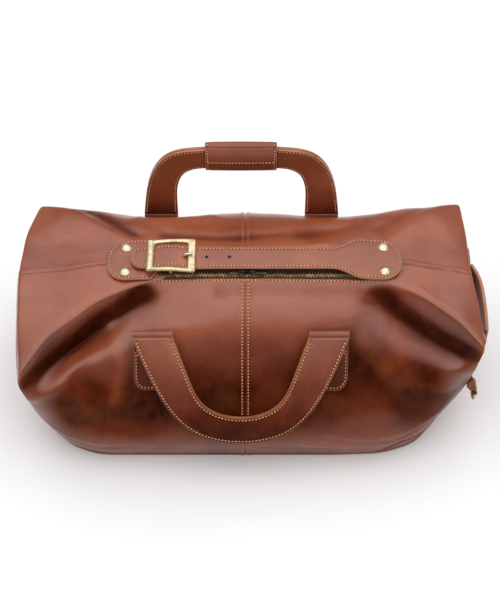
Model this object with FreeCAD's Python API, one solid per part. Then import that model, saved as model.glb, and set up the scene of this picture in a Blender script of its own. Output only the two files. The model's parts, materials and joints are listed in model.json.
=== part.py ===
"""Leather duffel bag with folded-in ends, a top zip, a buckled closure strap and two carry handles.

Millimetres. +Z is up, the front faces -Y and the grab handle is at the +X end. The origin is the
centre of the base, on the surface that the bag stands on.
"""
import FreeCAD, Part
import math
import os

os.makedirs("parts", exist_ok=True)
V = FreeCAD.Vector

# ---------------------------------------------------------------- driving dimensions
LEATHER = 3.0               # body leather with its interlining
LINING = 1.0
LINING_GAP = 1.5            # between the leather and the lining
LINING_MARGIN = 9.0         # the lining stops this far short of the corner seams
SEAM_GAP = 0.3              # between panels that are sewn edge to edge
BASE_HALF_WIDTH = 116.0
BASE_LEFT, BASE_RIGHT = -234.0, 226.0
BASE_CORNER_R = 62.0
BASE_THICK = 4.0
BOARD_INSET, BOARD_THICK = 12.0, 2.5

ZIP_Y, ZIP_Z = -13.2, 203.0         # centre line of the teeth
ZIP_LEFT, ZIP_RIGHT = -104.0, 143.0
TEETH_WIDTH, TEETH_PITCH, TOOTH_LENGTH = 6.6, 3.2, 1.7
TAPE_THICK, TAPE_WIDTH = 0.8, 9.0
FRONT_TAPE_REACH = 4.4              # the front tape ends at the edge of the leather
SLIDER_LENGTH, SLIDER_WIDTH, SLIDER_THICK = 9.0, 8.0, 1.4
SLIDER_X = {"left": -2.6, "right": 7.4}
BAIL_HALF, BAIL_WIRE, BAIL_WINDOW = 3.0, 1.0, 2.8
PULL_LENGTH, PULL_WIDTH, PULL_THICK = 17.0, 5.0, 1.2
PULL_TURN = {"left": 0.0, "right": 180.0}   # each pull lies away from the other

STRAP_Y, STRAP_WIDTH, STRAP_THICK = 6.0, 30.0, 3.4
STRAP_BOTTOM = 209.3                # where it lies flat above the zip
TAB_WIDTH, TAB_THICK, TAB_BOTTOM = 56.0, 3.0, 206.0
LEFT_TAB_END, LEFT_TAB_INNER = -153.0, -112.0
RIGHT_TAB_END, RIGHT_TAB_INNER = 173.0, 118.0
STRAP_TIP = -127.0
HOLE_R, HOLE_X = 1.6, (-44.0, -19.0)
RIVET_R, RIVET_SPACING = 6.0, 34.0
RIVET_LEFT_X, RIVET_RIGHT_X = -132.0, 153.0

BUCKLE_X = -81.5                    # the centre bar
BUCKLE_LENGTH, BUCKLE_WIDTH = 54.0, 50.0
BUCKLE_SIDE, BUCKLE_BAR = 8.0, 8.0
BUCKLE_BOTTOM, BUCKLE_TOP = 213.8, 217.8
CENTRE_BAR_R, CENTRE_BAR_Z = 1.8, 209.6

HANDLE_PLY = 3.6                    # a handle is two plies sewn together
PATCH_THICK, PATCH_LIFT = 2.4, 0.7  # the sewn feet, and how far they stand off the leather
FRONT_PIVOT = (-75.0, 176.0)        # y, z of the line that the front handle folds about
FRONT_DROOP = 57.5                  # degrees below the horizontal, at rest
REAR_PIVOT = (113.0, 160.0)
HANDLE_CENTRE_X = -5.0
WRAP_LENGTH, WRAP_HEIGHT, WRAP_THICK, FLAP_THICK = 80.0, 40.0, 13.0, 1.6

# The body is drawn by four or five points along each of its lines, from the centre outwards.
# Each panel runs from the base, over the belly and the folded shoulder, up to its top edge.
FRONT_LEFT = (
    ((0, -118, 4), (-105, -118, 4), (-165, -117, 4), (-207, -106, 4), (-231, -76, 4)),
    ((0, -132, 45), (-105, -132, 45), (-170, -130, 45), (-216, -119, 45), (-242, -90, 45)),
    ((0, -113, 98), (-105, -115, 97), (-172, -118, 95), (-224, -115, 95), (-249, -104, 97)),
    ((0, -64, 171), (-105, -63, 166), (-165, -77, 154), (-215, -111, 144), (-247, -118, 148)),
    ((0, -38, 194), (-105, -42, 184), (-165, -54, 163), (-211, -92, 152), (-245, -117, 153)),
    ((0, -19.5, 204.5), (-105, -27, 203), (-165, -47, 196), (-218, -87, 179), (-246, -120, 159)),
)
FRONT_RIGHT = (
    ((0, -118, 4), (100, -118, 4), (160, -116, 4), (200, -102, 4), (223, -72, 4)),
    ((0, -132, 45), (105, -131, 45), (168, -127, 45), (216, -110, 45), (245, -80, 45)),
    ((0, -113, 98), (110, -113, 98), (176, -112, 97), (231, -98, 97), (257, -82, 100)),
    ((0, -64, 171), (124, -57, 163), (180, -76, 150), (225, -91, 145), (259, -86, 151)),
    ((0, -38, 194), (135, -38, 180), (186, -55, 160), (228, -76, 154), (257, -85, 157)),
    ((0, -19.5, 204.5), (152, -22, 203), (196, -36, 196), (237, -67, 183), (259, -89, 165)),
)
BACK_LEFT = (
    ((0, 118, 4), (-105, 118, 4), (-165, 117, 4), (-207, 106, 4), (-231, 76, 4)),
    ((0, 131, 45), (-105, 131, 45), (-170, 129, 45), (-214, 118, 45), (-240, 90, 45)),
    ((0, 128, 100), (-105, 128, 100), (-168, 126, 98), (-216, 120, 98), (-244, 100, 98)),
    ((0, 104, 163), (-105, 104, 162), (-160, 106, 158), (-206, 110, 150), (-240, 109, 150)),
    ((0, 62, 194), (-120, 70, 192), (-160, 84, 186), (-200, 101, 174), (-239, 112, 161)),
    ((0, -7, 204.5), (-129, 37, 203), (-165, 68, 196), (-203, 95, 184), (-239, 114, 169)),
)
BACK_RIGHT = (
    ((0, 118, 4), (100, 118, 4), (160, 116, 4), (200, 105, 4), (223, 74, 4)),
    ((0, 131, 45), (105, 131, 45), (168, 129, 45), (214, 118, 45), (241, 90, 45)),
    ((0, 128, 100), (105, 128, 100), (170, 127, 98), (220, 121, 98), (249, 102, 98)),
    ((0, 104, 163), (110, 104, 162), (165, 107, 158), (212, 113, 152), (249, 113, 151)),
    ((0, 62, 194), (140, 70, 192), (176, 86, 186), (212, 106, 175), (249, 117, 162)),
    ((0, -7, 204.5), (155, 37, 203), (189, 71, 196), (224, 101, 184), (248, 119, 170)),
)
# The gussets run up the end, over the crease and flat in to the tab, from the centre seam outwards.
LEFT_FRONT = (
    ((-239, 0, 4), (-238, -42, 4), (-232, -73, 4)),
    ((-252, 0, 45), (-251, -52, 45), (-243, -87, 45)),
    ((-258, 1, 97), (-257, -56, 97), (-250, -100, 97)),
    ((-257, 3, 150), (-255, -60, 149), (-248, -114, 149)),
    ((-249, 4, 182), (-249, -58, 175), (-247, -116, 159)),
    ((-212, 5, 191), (-213, -38, 189), (-220, -84, 179)),
    ((-165, 6, 198), (-165, -19, 198), (-167, -43, 196)),
    ((-122, 6, 202), (-116, -8, 203), (-108, -24, 203)),
)
LEFT_BACK = (
    ((-239, 0, 4), (-238, 42, 4), (-232, 73, 4)),
    ((-252, 0, 45), (-251, 52, 45), (-241, 87, 45)),
    ((-258, 1, 97), (-256, 56, 97), (-245, 96, 97)),
    ((-257, 3, 150), (-253, 60, 150), (-241, 106, 151)),
    ((-249, 4, 182), (-247, 58, 179), (-240, 110, 170)),
    ((-212, 5, 191), (-209, 52, 190), (-204, 91, 184)),
    ((-165, 6, 198), (-166, 37, 198), (-166, 64, 196)),
    ((-122, 6, 202), (-126, 20, 203), (-130, 33, 203)),
)
RIGHT_FRONT = (
    ((231, 0, 4), (230, -40, 4), (224, -69, 4)),
    ((247, 0, 45), (250, -45, 45), (246, -77, 45)),
    ((255, 1, 97), (259, -45, 97), (258, -78, 100)),
    ((254, 2, 150), (260, -42, 150), (260, -82, 152)),
    ((248, 3, 182), (256, -40, 177), (260, -85, 165)),
    ((224, 4, 191), (230, -30, 190), (238, -63, 184)),
    ((190, 5, 198), (193, -14, 198), (197, -32, 196)),
    ((150, 6, 202), (152, -8, 203), (154, -19, 203)),
)
RIGHT_BACK = (
    ((231, 0, 4), (230, 40, 4), (224, 71, 4)),
    ((247, 0, 45), (250, 46, 45), (242, 87, 45)),
    ((255, 1, 97), (257, 52, 97), (250, 98, 98)),
    ((254, 2, 150), (255, 58, 150), (250, 110, 151)),
    ((248, 3, 182), (250, 60, 179), (249, 115, 171)),
    ((224, 4, 191), (225, 54, 190), (225, 97, 184)),
    ((190, 5, 198), (190, 38, 198), (190, 67, 196)),
    ((150, 6, 202), (153, 20, 203), (156, 33, 203)),
)


def save(name, shape):
    """Write one node's STEP file."""
    shape.exportStep("parts/%s.step" % name)


def group(shapes):
    """Separate solids that share one node."""
    return Part.makeCompound(shapes)


def box(x0, x1, y0, y1, z0, z1):
    return Part.makeBox(x1 - x0, y1 - y0, z1 - z0, V(x0, y0, z0))


def cylinder(radius, length, centre, direction):
    """A cylinder centred on a point."""
    axis = V(*direction).normalize()
    return Part.makeCylinder(radius, length, V(*centre) - axis * (length / 2), axis)


def round_edges(shape, radius, direction=V(0, 0, 1)):
    """Round the straight edges that run along a direction."""
    picked = []
    for edge in shape.Edges:
        if isinstance(edge.Curve, Part.Line) and abs(edge.Curve.Direction.dot(direction)) > 0.999:
            picked.append(edge)
    return shape.makeFillet(radius, picked)


# ---------------------------------------------------------------- thin curved panels
def vectors(lines):
    return [[V(*point) for point in line] for line in lines]


def grid_normals(grid, inside):
    """Unit normals at the grid's points, all on the side where the belly faces a point inside."""
    rows, columns = len(grid), len(grid[0])
    normals = []
    for i in range(rows):
        line = []
        for j in range(columns):
            along = grid[i][min(j + 1, columns - 1)] - grid[i][max(j - 1, 0)]
            up = grid[min(i + 1, rows - 1)][j] - grid[max(i - 1, 0)][j]
            line.append(along.cross(up).normalize())
        normals.append(line)
    if normals[1][0].dot(inside - grid[1][0]) < 0:
        normals = [[normal * -1 for normal in line] for line in normals]
    return normals


def with_midpoints(line):
    """The same line of points with one more between each pair."""
    points = [line[0]]
    for a, b in zip(line, line[1:]):
        points += [(a + b) * 0.5, b]
    return points


def clamped_knots(count):
    """Knots and multiplicities of a cubic that starts and ends on its poles."""
    spans = count - 3
    return list(range(spans + 1)), [4] + [1] * (spans - 1) + [4]


def surface_through(grid):
    """A smooth cubic surface that hugs the grid without overshooting it."""
    rows = [with_midpoints(line) for line in grid]
    columns = [with_midpoints(list(line)) for line in zip(*rows)]
    poles = [list(line) for line in zip(*columns)]
    u_knots, u_mults = clamped_knots(len(poles))
    v_knots, v_mults = clamped_knots(len(poles[0]))
    surface = Part.BSplineSurface()
    surface.buildFromPolesMultsKnots(poles, u_mults, v_mults, u_knots, v_knots, False, False, 3, 3)
    return surface


def border(surface):
    """The surface's four boundary curves as edges."""
    u0, u1, v0, v1 = surface.bounds()
    curves = (surface.uIso(u0), surface.vIso(v1), surface.uIso(u1), surface.vIso(v0))
    return [curve.toShape() for curve in curves]


def thin_solid(grid, near, far, inside):
    """A sheet between two depths below the grid's surface, measured towards the inside."""
    normals = grid_normals(grid, inside)

    def moved(depth):
        return [[p + n * depth for p, n in zip(ps, ns)] for ps, ns in zip(grid, normals)]

    outer, inner = surface_through(moved(near)), surface_through(moved(far))
    faces = [outer.toShape(), inner.toShape()]
    for edge_a, edge_b in zip(border(outer), border(inner)):
        faces.append(Part.makeRuledSurface(edge_a, edge_b))
    shell = Part.makeShell(faces)
    shell.sewShape()
    solid = Part.makeSolid(shell)
    if solid.Volume < 0:
        solid.reverse()
    return solid


INSIDE = V(0, 0, 110)


def shifted(grid, step):
    return [[point + step for point in line] for line in grid]


def mirrored_join(left, right):
    """One grid across both halves of a side, left to right."""
    return [list(reversed(a)) + list(b[1:]) for a, b in zip(left, right)]


def panels():
    """Front and back leather in two halves each, sewn at the centre seam."""
    halves = {
        "front_panel_left": (FRONT_LEFT, -1),
        "front_panel_right": (FRONT_RIGHT, 1),
        "back_panel_left": (BACK_LEFT, -1),
        "back_panel_right": (BACK_RIGHT, 1),
    }
    for name, (lines, side) in halves.items():
        grid = shifted(vectors(lines), V(side * SEAM_GAP / 2, 0, SEAM_GAP))
        save(name, thin_solid(grid, 0.0, LEATHER, INSIDE))


def gussets():
    """Each end in two halves, sewn along the middle."""
    halves = {
        "left_gusset_front": (LEFT_FRONT, -1),
        "left_gusset_back": (LEFT_BACK, 1),
        "right_gusset_front": (RIGHT_FRONT, -1),
        "right_gusset_back": (RIGHT_BACK, 1),
    }
    for name, (lines, side) in halves.items():
        grid = shifted(vectors(lines), V(0, side * SEAM_GAP / 2, SEAM_GAP))
        save(name, thin_solid(grid, 0.0, LEATHER, INSIDE))


def drawn_in(line):
    """The same line with both ends pulled in from the corner seams."""
    start = line[0] + (line[1] - line[0]).normalize() * LINING_MARGIN
    end = line[-1] + (line[-2] - line[-1]).normalize() * LINING_MARGIN
    return [start] + line[1:-1] + [end]


def lining():
    """A loose cloth lining that follows the leather from the inside."""
    near = LEATHER + LINING_GAP
    sides = {
        "lining_front": mirrored_join(vectors(FRONT_LEFT), vectors(FRONT_RIGHT)),
        "lining_back": mirrored_join(vectors(BACK_LEFT), vectors(BACK_RIGHT)),
        "lining_left_end": mirrored_join(vectors(LEFT_FRONT), vectors(LEFT_BACK)),
        "lining_right_end": mirrored_join(vectors(RIGHT_FRONT), vectors(RIGHT_BACK)),
    }
    lift = V(0, 0, BASE_THICK + BOARD_THICK)
    for name, grid in sides.items():
        raised = [[point + lift for point in grid[0]]] + grid[1:]
        inset = [drawn_in(line) for line in raised]
        if name in ("lining_front", "lining_back"):
            inset[-1] = [(a + b) * 0.5 for a, b in zip(inset[-2], inset[-1])]
        save(name, thin_solid(inset, near, near + LINING, INSIDE))


def base_outline(inset, z0, z1):
    """A plate of the base's rounded outline, drawn in by an inset."""
    plate = box(BASE_LEFT + inset, BASE_RIGHT - inset,
                -BASE_HALF_WIDTH + inset, BASE_HALF_WIDTH - inset, z0, z1)
    return round_edges(plate, BASE_CORNER_R - inset)


def base():
    board_bottom = BASE_THICK + SEAM_GAP
    board_top = board_bottom + BOARD_THICK
    save("base_panel", base_outline(0.0, 0.0, BASE_THICK))
    save("base_board", base_outline(BOARD_INSET, board_bottom, board_top))
    save("lining_base", base_outline(BOARD_INSET, board_top + 0.2, board_top + 0.2 + LINING))


# ---------------------------------------------------------------- zip
def along_x(points, x0, x1):
    """Extrude an outline drawn in Y and Z along X."""
    wire = Part.makePolygon([V(x0, y, z) for y, z in points + points[:1]])
    return Part.Face(wire).extrude(V(x1 - x0, 0, 0))


def zip_tapes():
    for name, side, reach, top in (("zip_tape_front", -1, FRONT_TAPE_REACH, ZIP_Z - 1.2),
                                   ("zip_tape_back", 1, TEETH_WIDTH / 2 + TAPE_WIDTH, ZIP_Z - 2.2)):
        inner = ZIP_Y + side * 0.3
        outer = ZIP_Y + side * reach
        outline = [(inner, top), (outer, top), (outer, top - TAPE_THICK), (inner, top - TAPE_THICK)]
        save(name, along_x(outline, ZIP_LEFT - 6, ZIP_RIGHT + 6))


def zip_teeth():
    """Two rows of teeth that reach past the middle in turn."""
    reach = TEETH_WIDTH / 2
    for name, side, start in (("zip_teeth_front", -1, 0.0), ("zip_teeth_back", 1, TEETH_PITCH / 2)):
        teeth = []
        x = ZIP_LEFT + start
        while x < ZIP_RIGHT - TEETH_PITCH:
            y_far = ZIP_Y + side * reach
            y_near = ZIP_Y - side * reach * 0.35
            low, high = sorted((y_far, y_near))
            teeth.append(box(x - TOOTH_LENGTH / 2 + 0.2, x + TOOTH_LENGTH / 2 - 0.2,
                             low, high, ZIP_Z - 1.0, ZIP_Z + 1.0))
            x += TEETH_PITCH
        save(name, group(teeth))


def zip_stops():
    stops = []
    for x in (ZIP_LEFT - 4.0, ZIP_RIGHT + 1.0):
        stop = box(x, x + 3.0, ZIP_Y - 3.5, ZIP_Y + 3.5, ZIP_Z - 1.0, ZIP_Z + 1.6)
        stops.append(stop)
    save("zip_stops", group(stops))


def slider_plate(x, z):
    """One shield-shaped plate of a slider."""
    half = SLIDER_LENGTH / 2
    plate = box(x - half, x + half, ZIP_Y - SLIDER_WIDTH / 2, ZIP_Y + SLIDER_WIDTH / 2,
                z, z + SLIDER_THICK)
    return round_edges(plate, 2.2)


def slider_top():
    """Height of a slider's flat top."""
    return ZIP_Z + 1.3 + SLIDER_THICK


def zip_sliders():
    """Two sliders nose to nose over the centre seam, each with a bail on top."""
    top = slider_top()
    for side, x in SLIDER_X.items():
        body = slider_plate(x, top - SLIDER_THICK)
        for edge in (-1, 1):
            y = ZIP_Y + edge * (SLIDER_WIDTH / 2 + 0.1)
            cheek = box(x - 3.2, x + 3.2, y - 0.4, y + 0.4, ZIP_Z - 0.7, top - 0.9)
            body = body.fuse(cheek)
        bail = box(x - BAIL_HALF, x + BAIL_HALF, ZIP_Y - 1.0, ZIP_Y + 1.0,
                   top - 0.2, top + BAIL_WINDOW + BAIL_WIRE)
        window = box(x - BAIL_HALF + BAIL_WIRE, x + BAIL_HALF - BAIL_WIRE, ZIP_Y - 2.0, ZIP_Y + 2.0,
                     top, top + BAIL_WINDOW)
        save("zip_slider_" + side, body.fuse(bail.cut(window)).removeSplitter())


def zip_pulls():
    """Thin pulls whose eyes ride in the bails, laid flat along the teeth."""
    z = slider_top() + BAIL_WINDOW / 2
    thick = PULL_THICK / 2
    for side, x in SLIDER_X.items():
        blade = box(x + 0.8 - PULL_LENGTH, x + 0.8, ZIP_Y - PULL_WIDTH / 2, ZIP_Y + PULL_WIDTH / 2,
                    z - thick, z + thick)
        eye = box(x - 4.8, x - 0.8, ZIP_Y - 1.4, ZIP_Y + 1.4, z - 2, z + 2)
        shape = round_edges(blade, 0.7).cut(eye)
        shape.rotate(V(x, ZIP_Y, z), V(0, 0, 1), PULL_TURN[side])
        save("zip_pull_" + side, shape)


# ---------------------------------------------------------------- closure strap and buckle
def rivet_points(x):
    return [(x, STRAP_Y + side * RIVET_SPACING / 2) for side in (-1, 1)]


def left_tab():
    """The sewn tab under the buckle, rounded at its outer end."""
    plate = box(LEFT_TAB_END, LEFT_TAB_INNER, STRAP_Y - TAB_WIDTH / 2, STRAP_Y + TAB_WIDTH / 2,
                TAB_BOTTOM, TAB_BOTTOM + TAB_THICK)
    plate = round_edges(plate, 19.0)
    neck = box(LEFT_TAB_INNER - 24, LEFT_TAB_INNER + 6, STRAP_Y - STRAP_WIDTH / 2,
               STRAP_Y + STRAP_WIDTH / 2, TAB_BOTTOM, TAB_BOTTOM + TAB_THICK)
    plate = plate.fuse(neck).removeSplitter()
    for x, y in rivet_points(RIVET_LEFT_X):
        plate = plate.cut(cylinder(2.05, 20, (x, y, TAB_BOTTOM), (0, 0, 1)))
    save("left_tab", plate)


def chape():
    """The short leather loop that holds the buckle's centre bar to the tab."""
    inner_r = CENTRE_BAR_R + 0.3
    outer_r = inner_r + 1.1
    y0 = STRAP_Y - 13.0
    start = V(BUCKLE_X, y0, CENTRE_BAR_Z)
    ring = Part.makeCylinder(outer_r, 26.0, start, V(0, 1, 0))
    tail = box(LEFT_TAB_INNER + 6.3, BUCKLE_X, y0, y0 + 26.0, CENTRE_BAR_Z - outer_r, CENTRE_BAR_Z - outer_r + 1.8)
    body = ring.fuse(tail)
    body = body.cut(Part.makeCylinder(inner_r, 26.0, start, V(0, 1, 0)))
    slot = box(BUCKLE_X - outer_r - 0.6, BUCKLE_X + outer_r + 1, STRAP_Y - 3.0, STRAP_Y + 3.0,
               CENTRE_BAR_Z - outer_r - 1, CENTRE_BAR_Z + outer_r + 1)
    save("buckle_chape", body.cut(slot).removeSplitter())


def buckle():
    """A cast double frame with bars above the strap, and a centre bar below it."""
    half, wide = BUCKLE_LENGTH / 2, BUCKLE_WIDTH / 2
    frame = box(BUCKLE_X - half, BUCKLE_X + half, STRAP_Y - wide, STRAP_Y + wide,
                BUCKLE_BOTTOM, BUCKLE_TOP)
    frame = round_edges(frame, 4.0)
    window = box(BUCKLE_X - half + BUCKLE_BAR, BUCKLE_X + half - BUCKLE_BAR,
                 STRAP_Y - wide + BUCKLE_SIDE, STRAP_Y + wide - BUCKLE_SIDE,
                 BUCKLE_BOTTOM - 1, BUCKLE_TOP + 1)
    frame = frame.cut(round_edges(window, 2.0))
    for side in (-1, 1):
        y = STRAP_Y + side * (wide - BUCKLE_SIDE / 2)
        lug = box(BUCKLE_X - 4, BUCKLE_X + 4, y - BUCKLE_SIDE / 2 + 1, y + BUCKLE_SIDE / 2 - 1,
                  CENTRE_BAR_Z - 2.6, BUCKLE_BOTTOM + 0.5)
        frame = frame.fuse(lug)
    bar_length = BUCKLE_WIDTH - 2 * 2.0
    bore = cylinder(CENTRE_BAR_R, bar_length, (BUCKLE_X, STRAP_Y, CENTRE_BAR_Z), (0, 1, 0))
    save("buckle_frame", frame.cut(bore).removeSplitter())
    save("buckle_bar", bore)


def prong():
    """The tongue turns on the centre bar and rests on the right-hand bar."""
    y0 = STRAP_Y - 1.6
    bore_r = CENTRE_BAR_R + 0.05
    eye = Part.makeCylinder(bore_r + 1.3, 3.2, V(BUCKLE_X, y0, CENTRE_BAR_Z), V(0, 1, 0))
    tip_x, tip_z = BUCKLE_X + BUCKLE_LENGTH / 2 - 3.0, BUCKLE_TOP + 0.25
    outline = [V(BUCKLE_X - 1.2, y0, CENTRE_BAR_Z + 1.5), V(BUCKLE_X + 1.9, y0, CENTRE_BAR_Z + 1.0),
               V(BUCKLE_X + 4.2, y0, BUCKLE_TOP + 0.1), V(tip_x, y0, tip_z),
               V(tip_x, y0, tip_z + 2.0), V(BUCKLE_X + 3.0, y0, BUCKLE_TOP + 3.0)]
    blade = Part.Face(Part.makePolygon(outline + outline[:1])).extrude(V(0, 3.2, 0))
    body = eye.fuse(blade)
    bore = Part.makeCylinder(bore_r, 10, V(BUCKLE_X, y0 - 3, CENTRE_BAR_Z), V(0, 1, 0))
    save("buckle_prong", body.cut(bore).removeSplitter())


def strap_outline_y():
    """The strap seen from above: a band that widens by two S-curves into the right-hand tab."""
    narrow, wide = STRAP_WIDTH / 2, TAB_WIDTH / 2
    tip_r = narrow
    end_r = 24.0
    x0, x1 = RIGHT_TAB_INNER - 22.0, RIGHT_TAB_INNER + 10.0

    def curve(points):
        spline = Part.BSplineCurve()
        spline.interpolate([V(x, y, 0) for x, y in points])
        return spline.toShape()

    def line(a, b):
        return Part.LineSegment(V(*a, 0), V(*b, 0)).toShape()

    def arc(a, b, c):
        return Part.Arc(V(*a, 0), V(*b, 0), V(*c, 0)).toShape()

    y = STRAP_Y
    turn = end_r * (1 - math.sqrt(0.5))
    edges = [
        arc((STRAP_TIP + tip_r, y - narrow), (STRAP_TIP, y), (STRAP_TIP + tip_r, y + narrow)),
        line((STRAP_TIP + tip_r, y + narrow), (x0, y + narrow)),
        curve([(x0, y + narrow), (x0 + 11, y + narrow + 1.6), (x1 - 11, y + wide - 1.6), (x1, y + wide)]),
        line((x1, y + wide), (RIGHT_TAB_END - end_r, y + wide)),
        arc((RIGHT_TAB_END - end_r, y + wide), (RIGHT_TAB_END - turn, y + wide - turn),
            (RIGHT_TAB_END, y + wide - end_r)),
        line((RIGHT_TAB_END, y + wide - end_r), (RIGHT_TAB_END, y - wide + end_r)),
        arc((RIGHT_TAB_END, y - wide + end_r), (RIGHT_TAB_END - turn, y - wide + turn),
            (RIGHT_TAB_END - end_r, y - wide)),
        line((RIGHT_TAB_END - end_r, y - wide), (x1, y - wide)),
        curve([(x1, y - wide), (x1 - 11, y - wide + 1.6), (x0 + 11, y - narrow - 1.6), (x0, y - narrow)]),
        line((x0, y - narrow), (STRAP_TIP + tip_r, y - narrow)),
    ]
    return Part.Wire(Part.__sortEdges__(edges))


def strap_side_profile():
    """The strap seen from the front: down on each tab, over the centre bar, under both end bars."""
    low = TAB_BOTTOM + TAB_THICK + 0.3
    hump = CENTRE_BAR_Z + CENTRE_BAR_R + 0.3 + 1.1 + 0.3
    flat = STRAP_BOTTOM
    tab = TAB_BOTTOM + 0.3
    path = [(STRAP_TIP - 5, low), (BUCKLE_X - 17, low), (BUCKLE_X - 6, hump), (BUCKLE_X + 6, hump),
            (BUCKLE_X + 17, low), (BUCKLE_X + 40, flat), (RIGHT_TAB_INNER - 10, flat),
            (RIGHT_TAB_INNER + 16, tab), (RIGHT_TAB_END + 5, tab)]
    upper = [(x, z + STRAP_THICK) for x, z in reversed(path)]
    points = [V(x, -100, z) for x, z in path + upper]
    return Part.Face(Part.makePolygon(points + points[:1])).extrude(V(0, 200, 0))


def closure_strap():
    plan = Part.Face(strap_outline_y())
    plan.translate(V(0, 0, 195))
    strap = plan.extrude(V(0, 0, 30)).common(strap_side_profile())
    for x in HOLE_X:
        strap = strap.cut(cylinder(HOLE_R, 40, (x, STRAP_Y, STRAP_BOTTOM), (0, 0, 1)))
    prong_hole = box(BUCKLE_X - 7.0, BUCKLE_X + 7.6, STRAP_Y - 2.3, STRAP_Y + 2.3, 200, 230)
    strap = strap.cut(round_edges(prong_hole, 2.2))
    for x, y in rivet_points(RIVET_RIGHT_X):
        strap = strap.cut(cylinder(2.05, 40, (x, y, STRAP_BOTTOM), (0, 0, 1)))
    save("closure_strap", strap)


def rivet(x, y, head_z):
    """A domed cap on a shank, with a flat cap inside the bag."""
    sphere_r = 9.5
    depth = sphere_r - math.sqrt(sphere_r ** 2 - RIVET_R ** 2)
    dome = Part.makeSphere(sphere_r, V(x, y, head_z + depth - sphere_r + 0.8))
    dome = dome.common(Part.makeCylinder(RIVET_R, 6, V(x, y, head_z), V(0, 0, 1)))
    shank = Part.makeCylinder(2.0, head_z - 196.0, V(x, y, 196.0), V(0, 0, 1))
    back = Part.makeCylinder(4.0, 1.0, V(x, y, 195.0), V(0, 0, 1))
    return dome.fuse(shank).fuse(back).removeSplitter()


def rivets():
    left_z = TAB_BOTTOM + TAB_THICK
    right_z = TAB_BOTTOM + 0.3 + STRAP_THICK
    save("left_tab_rivets", group([rivet(x, y, left_z) for x, y in rivet_points(RIVET_LEFT_X)]))
    save("right_tab_rivets", group([rivet(x, y, right_z) for x, y in rivet_points(RIVET_RIGHT_X)]))


# ---------------------------------------------------------------- carry handles
# Half outlines as (across, along) from the pivot line, from the foot to the middle of the grip.
FRONT_OUTER = ((118, 3), (92, 62), (52, 114), (0, 128))
FRONT_INNER = ((74, 3), (58, 45), (40, 80), (0, 95))
REAR_OUTER = ((112, 3), (109, 40), (92, 92), (52, 113), (0, 114))
REAR_INNER = ((71, 3), (70, 40), (60, 72), (40, 82), (0, 82))


def half_to_whole(points):
    """Mirror a half outline about the middle of the handle."""
    left = [(-x, h) for x, h in points]
    right = [(x, h) for x, h in reversed(points[:-1])]
    return left + right


def u_shape(outer, inner):
    """A flat U in the XZ plane, standing on its feet."""
    def spline(points):
        curve = Part.BSplineCurve()
        curve.interpolate([V(x, 0, h) for x, h in half_to_whole(points)])
        return curve.toShape()

    outer_edge, inner_edge = spline(outer), spline(inner)
    feet = []
    for side in (-1, 1):
        a = V(side * outer[0][0], 0, outer[0][1])
        b = V(side * inner[0][0], 0, inner[0][1])
        feet.append(Part.LineSegment(a, b).toShape())
    wire = Part.Wire(Part.__sortEdges__([outer_edge, feet[1], inner_edge, feet[0]]))
    return Part.Face(wire)


def ply(face, y0, y1):
    shape = face.copy()
    shape.translate(V(0, y0, 0))
    return shape.extrude(V(0, y1 - y0, 0))


def place_front(shape):
    """From standing on its feet to lying on the belly."""
    shape.rotate(V(0, 0, 0), V(1, 0, 0), 90.0 + FRONT_DROOP)
    shape.translate(V(HANDLE_CENTRE_X, FRONT_PIVOT[0], FRONT_PIVOT[1]))
    return shape


def place_rear(shape):
    shape.translate(V(HANDLE_CENTRE_X, REAR_PIVOT[0], REAR_PIVOT[1]))
    return shape


def handles():
    front, rear = u_shape(FRONT_OUTER, FRONT_INNER), u_shape(REAR_OUTER, REAR_INNER)
    save("front_handle_outer_ply", place_front(ply(front, 0.05, HANDLE_PLY)))
    save("front_handle_inner_ply", place_front(ply(front, -HANDLE_PLY, -0.05)))
    save("rear_handle_outer_ply", place_rear(ply(rear, 0.05, HANDLE_PLY)))
    save("rear_handle_inner_ply", place_rear(ply(rear, -HANDLE_PLY, -0.05)))


def handle_wrap():
    """A leather sleeve on the grip, closed by a flap along its front."""
    z_mid = (REAR_OUTER[-1][1] + REAR_INNER[-1][1]) / 2
    grip = REAR_OUTER[-1][1] - REAR_INNER[-1][1]
    half = WRAP_LENGTH / 2
    outer = box(-half, half, -WRAP_THICK / 2, WRAP_THICK / 2, z_mid - WRAP_HEIGHT / 2, z_mid + WRAP_HEIGHT / 2)
    outer = round_edges(outer, WRAP_THICK / 2 - 0.3, V(1, 0, 0))
    inner = box(-half - 1, half + 1, -HANDLE_PLY - 0.3, HANDLE_PLY + 0.3,
                z_mid - grip / 2 - 1.4, z_mid + grip / 2 + 1.4)
    sleeve = outer.cut(inner)
    snap_places = [(x, -HANDLE_PLY - 1.2, z_mid - 8) for x in (-half * 0.55, half * 0.55)]
    for place in snap_places:
        sleeve = sleeve.cut(cylinder(4.1, 1.8, place, (0, 1, 0)))
    save("handle_wrap", place_rear(sleeve))
    face = -WRAP_THICK / 2 - 0.3
    flap = box(-half, half, face - FLAP_THICK, face, z_mid - 1.0, z_mid + WRAP_HEIGHT / 2 - 3.0)
    save("wrap_flap", place_rear(flap))
    save("wrap_snaps", group([place_rear(cylinder(4.0, 1.4, place, (0, 1, 0))) for place in snap_places]))


def on_panel(surface, x, z):
    """The point of a panel at a given x and height."""
    ray = Part.Line(V(x, -400, z), V(x, 400, z))
    points = ray.intersectCS(surface)[0]
    return V(points[0].X, points[0].Y, points[0].Z)


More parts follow.
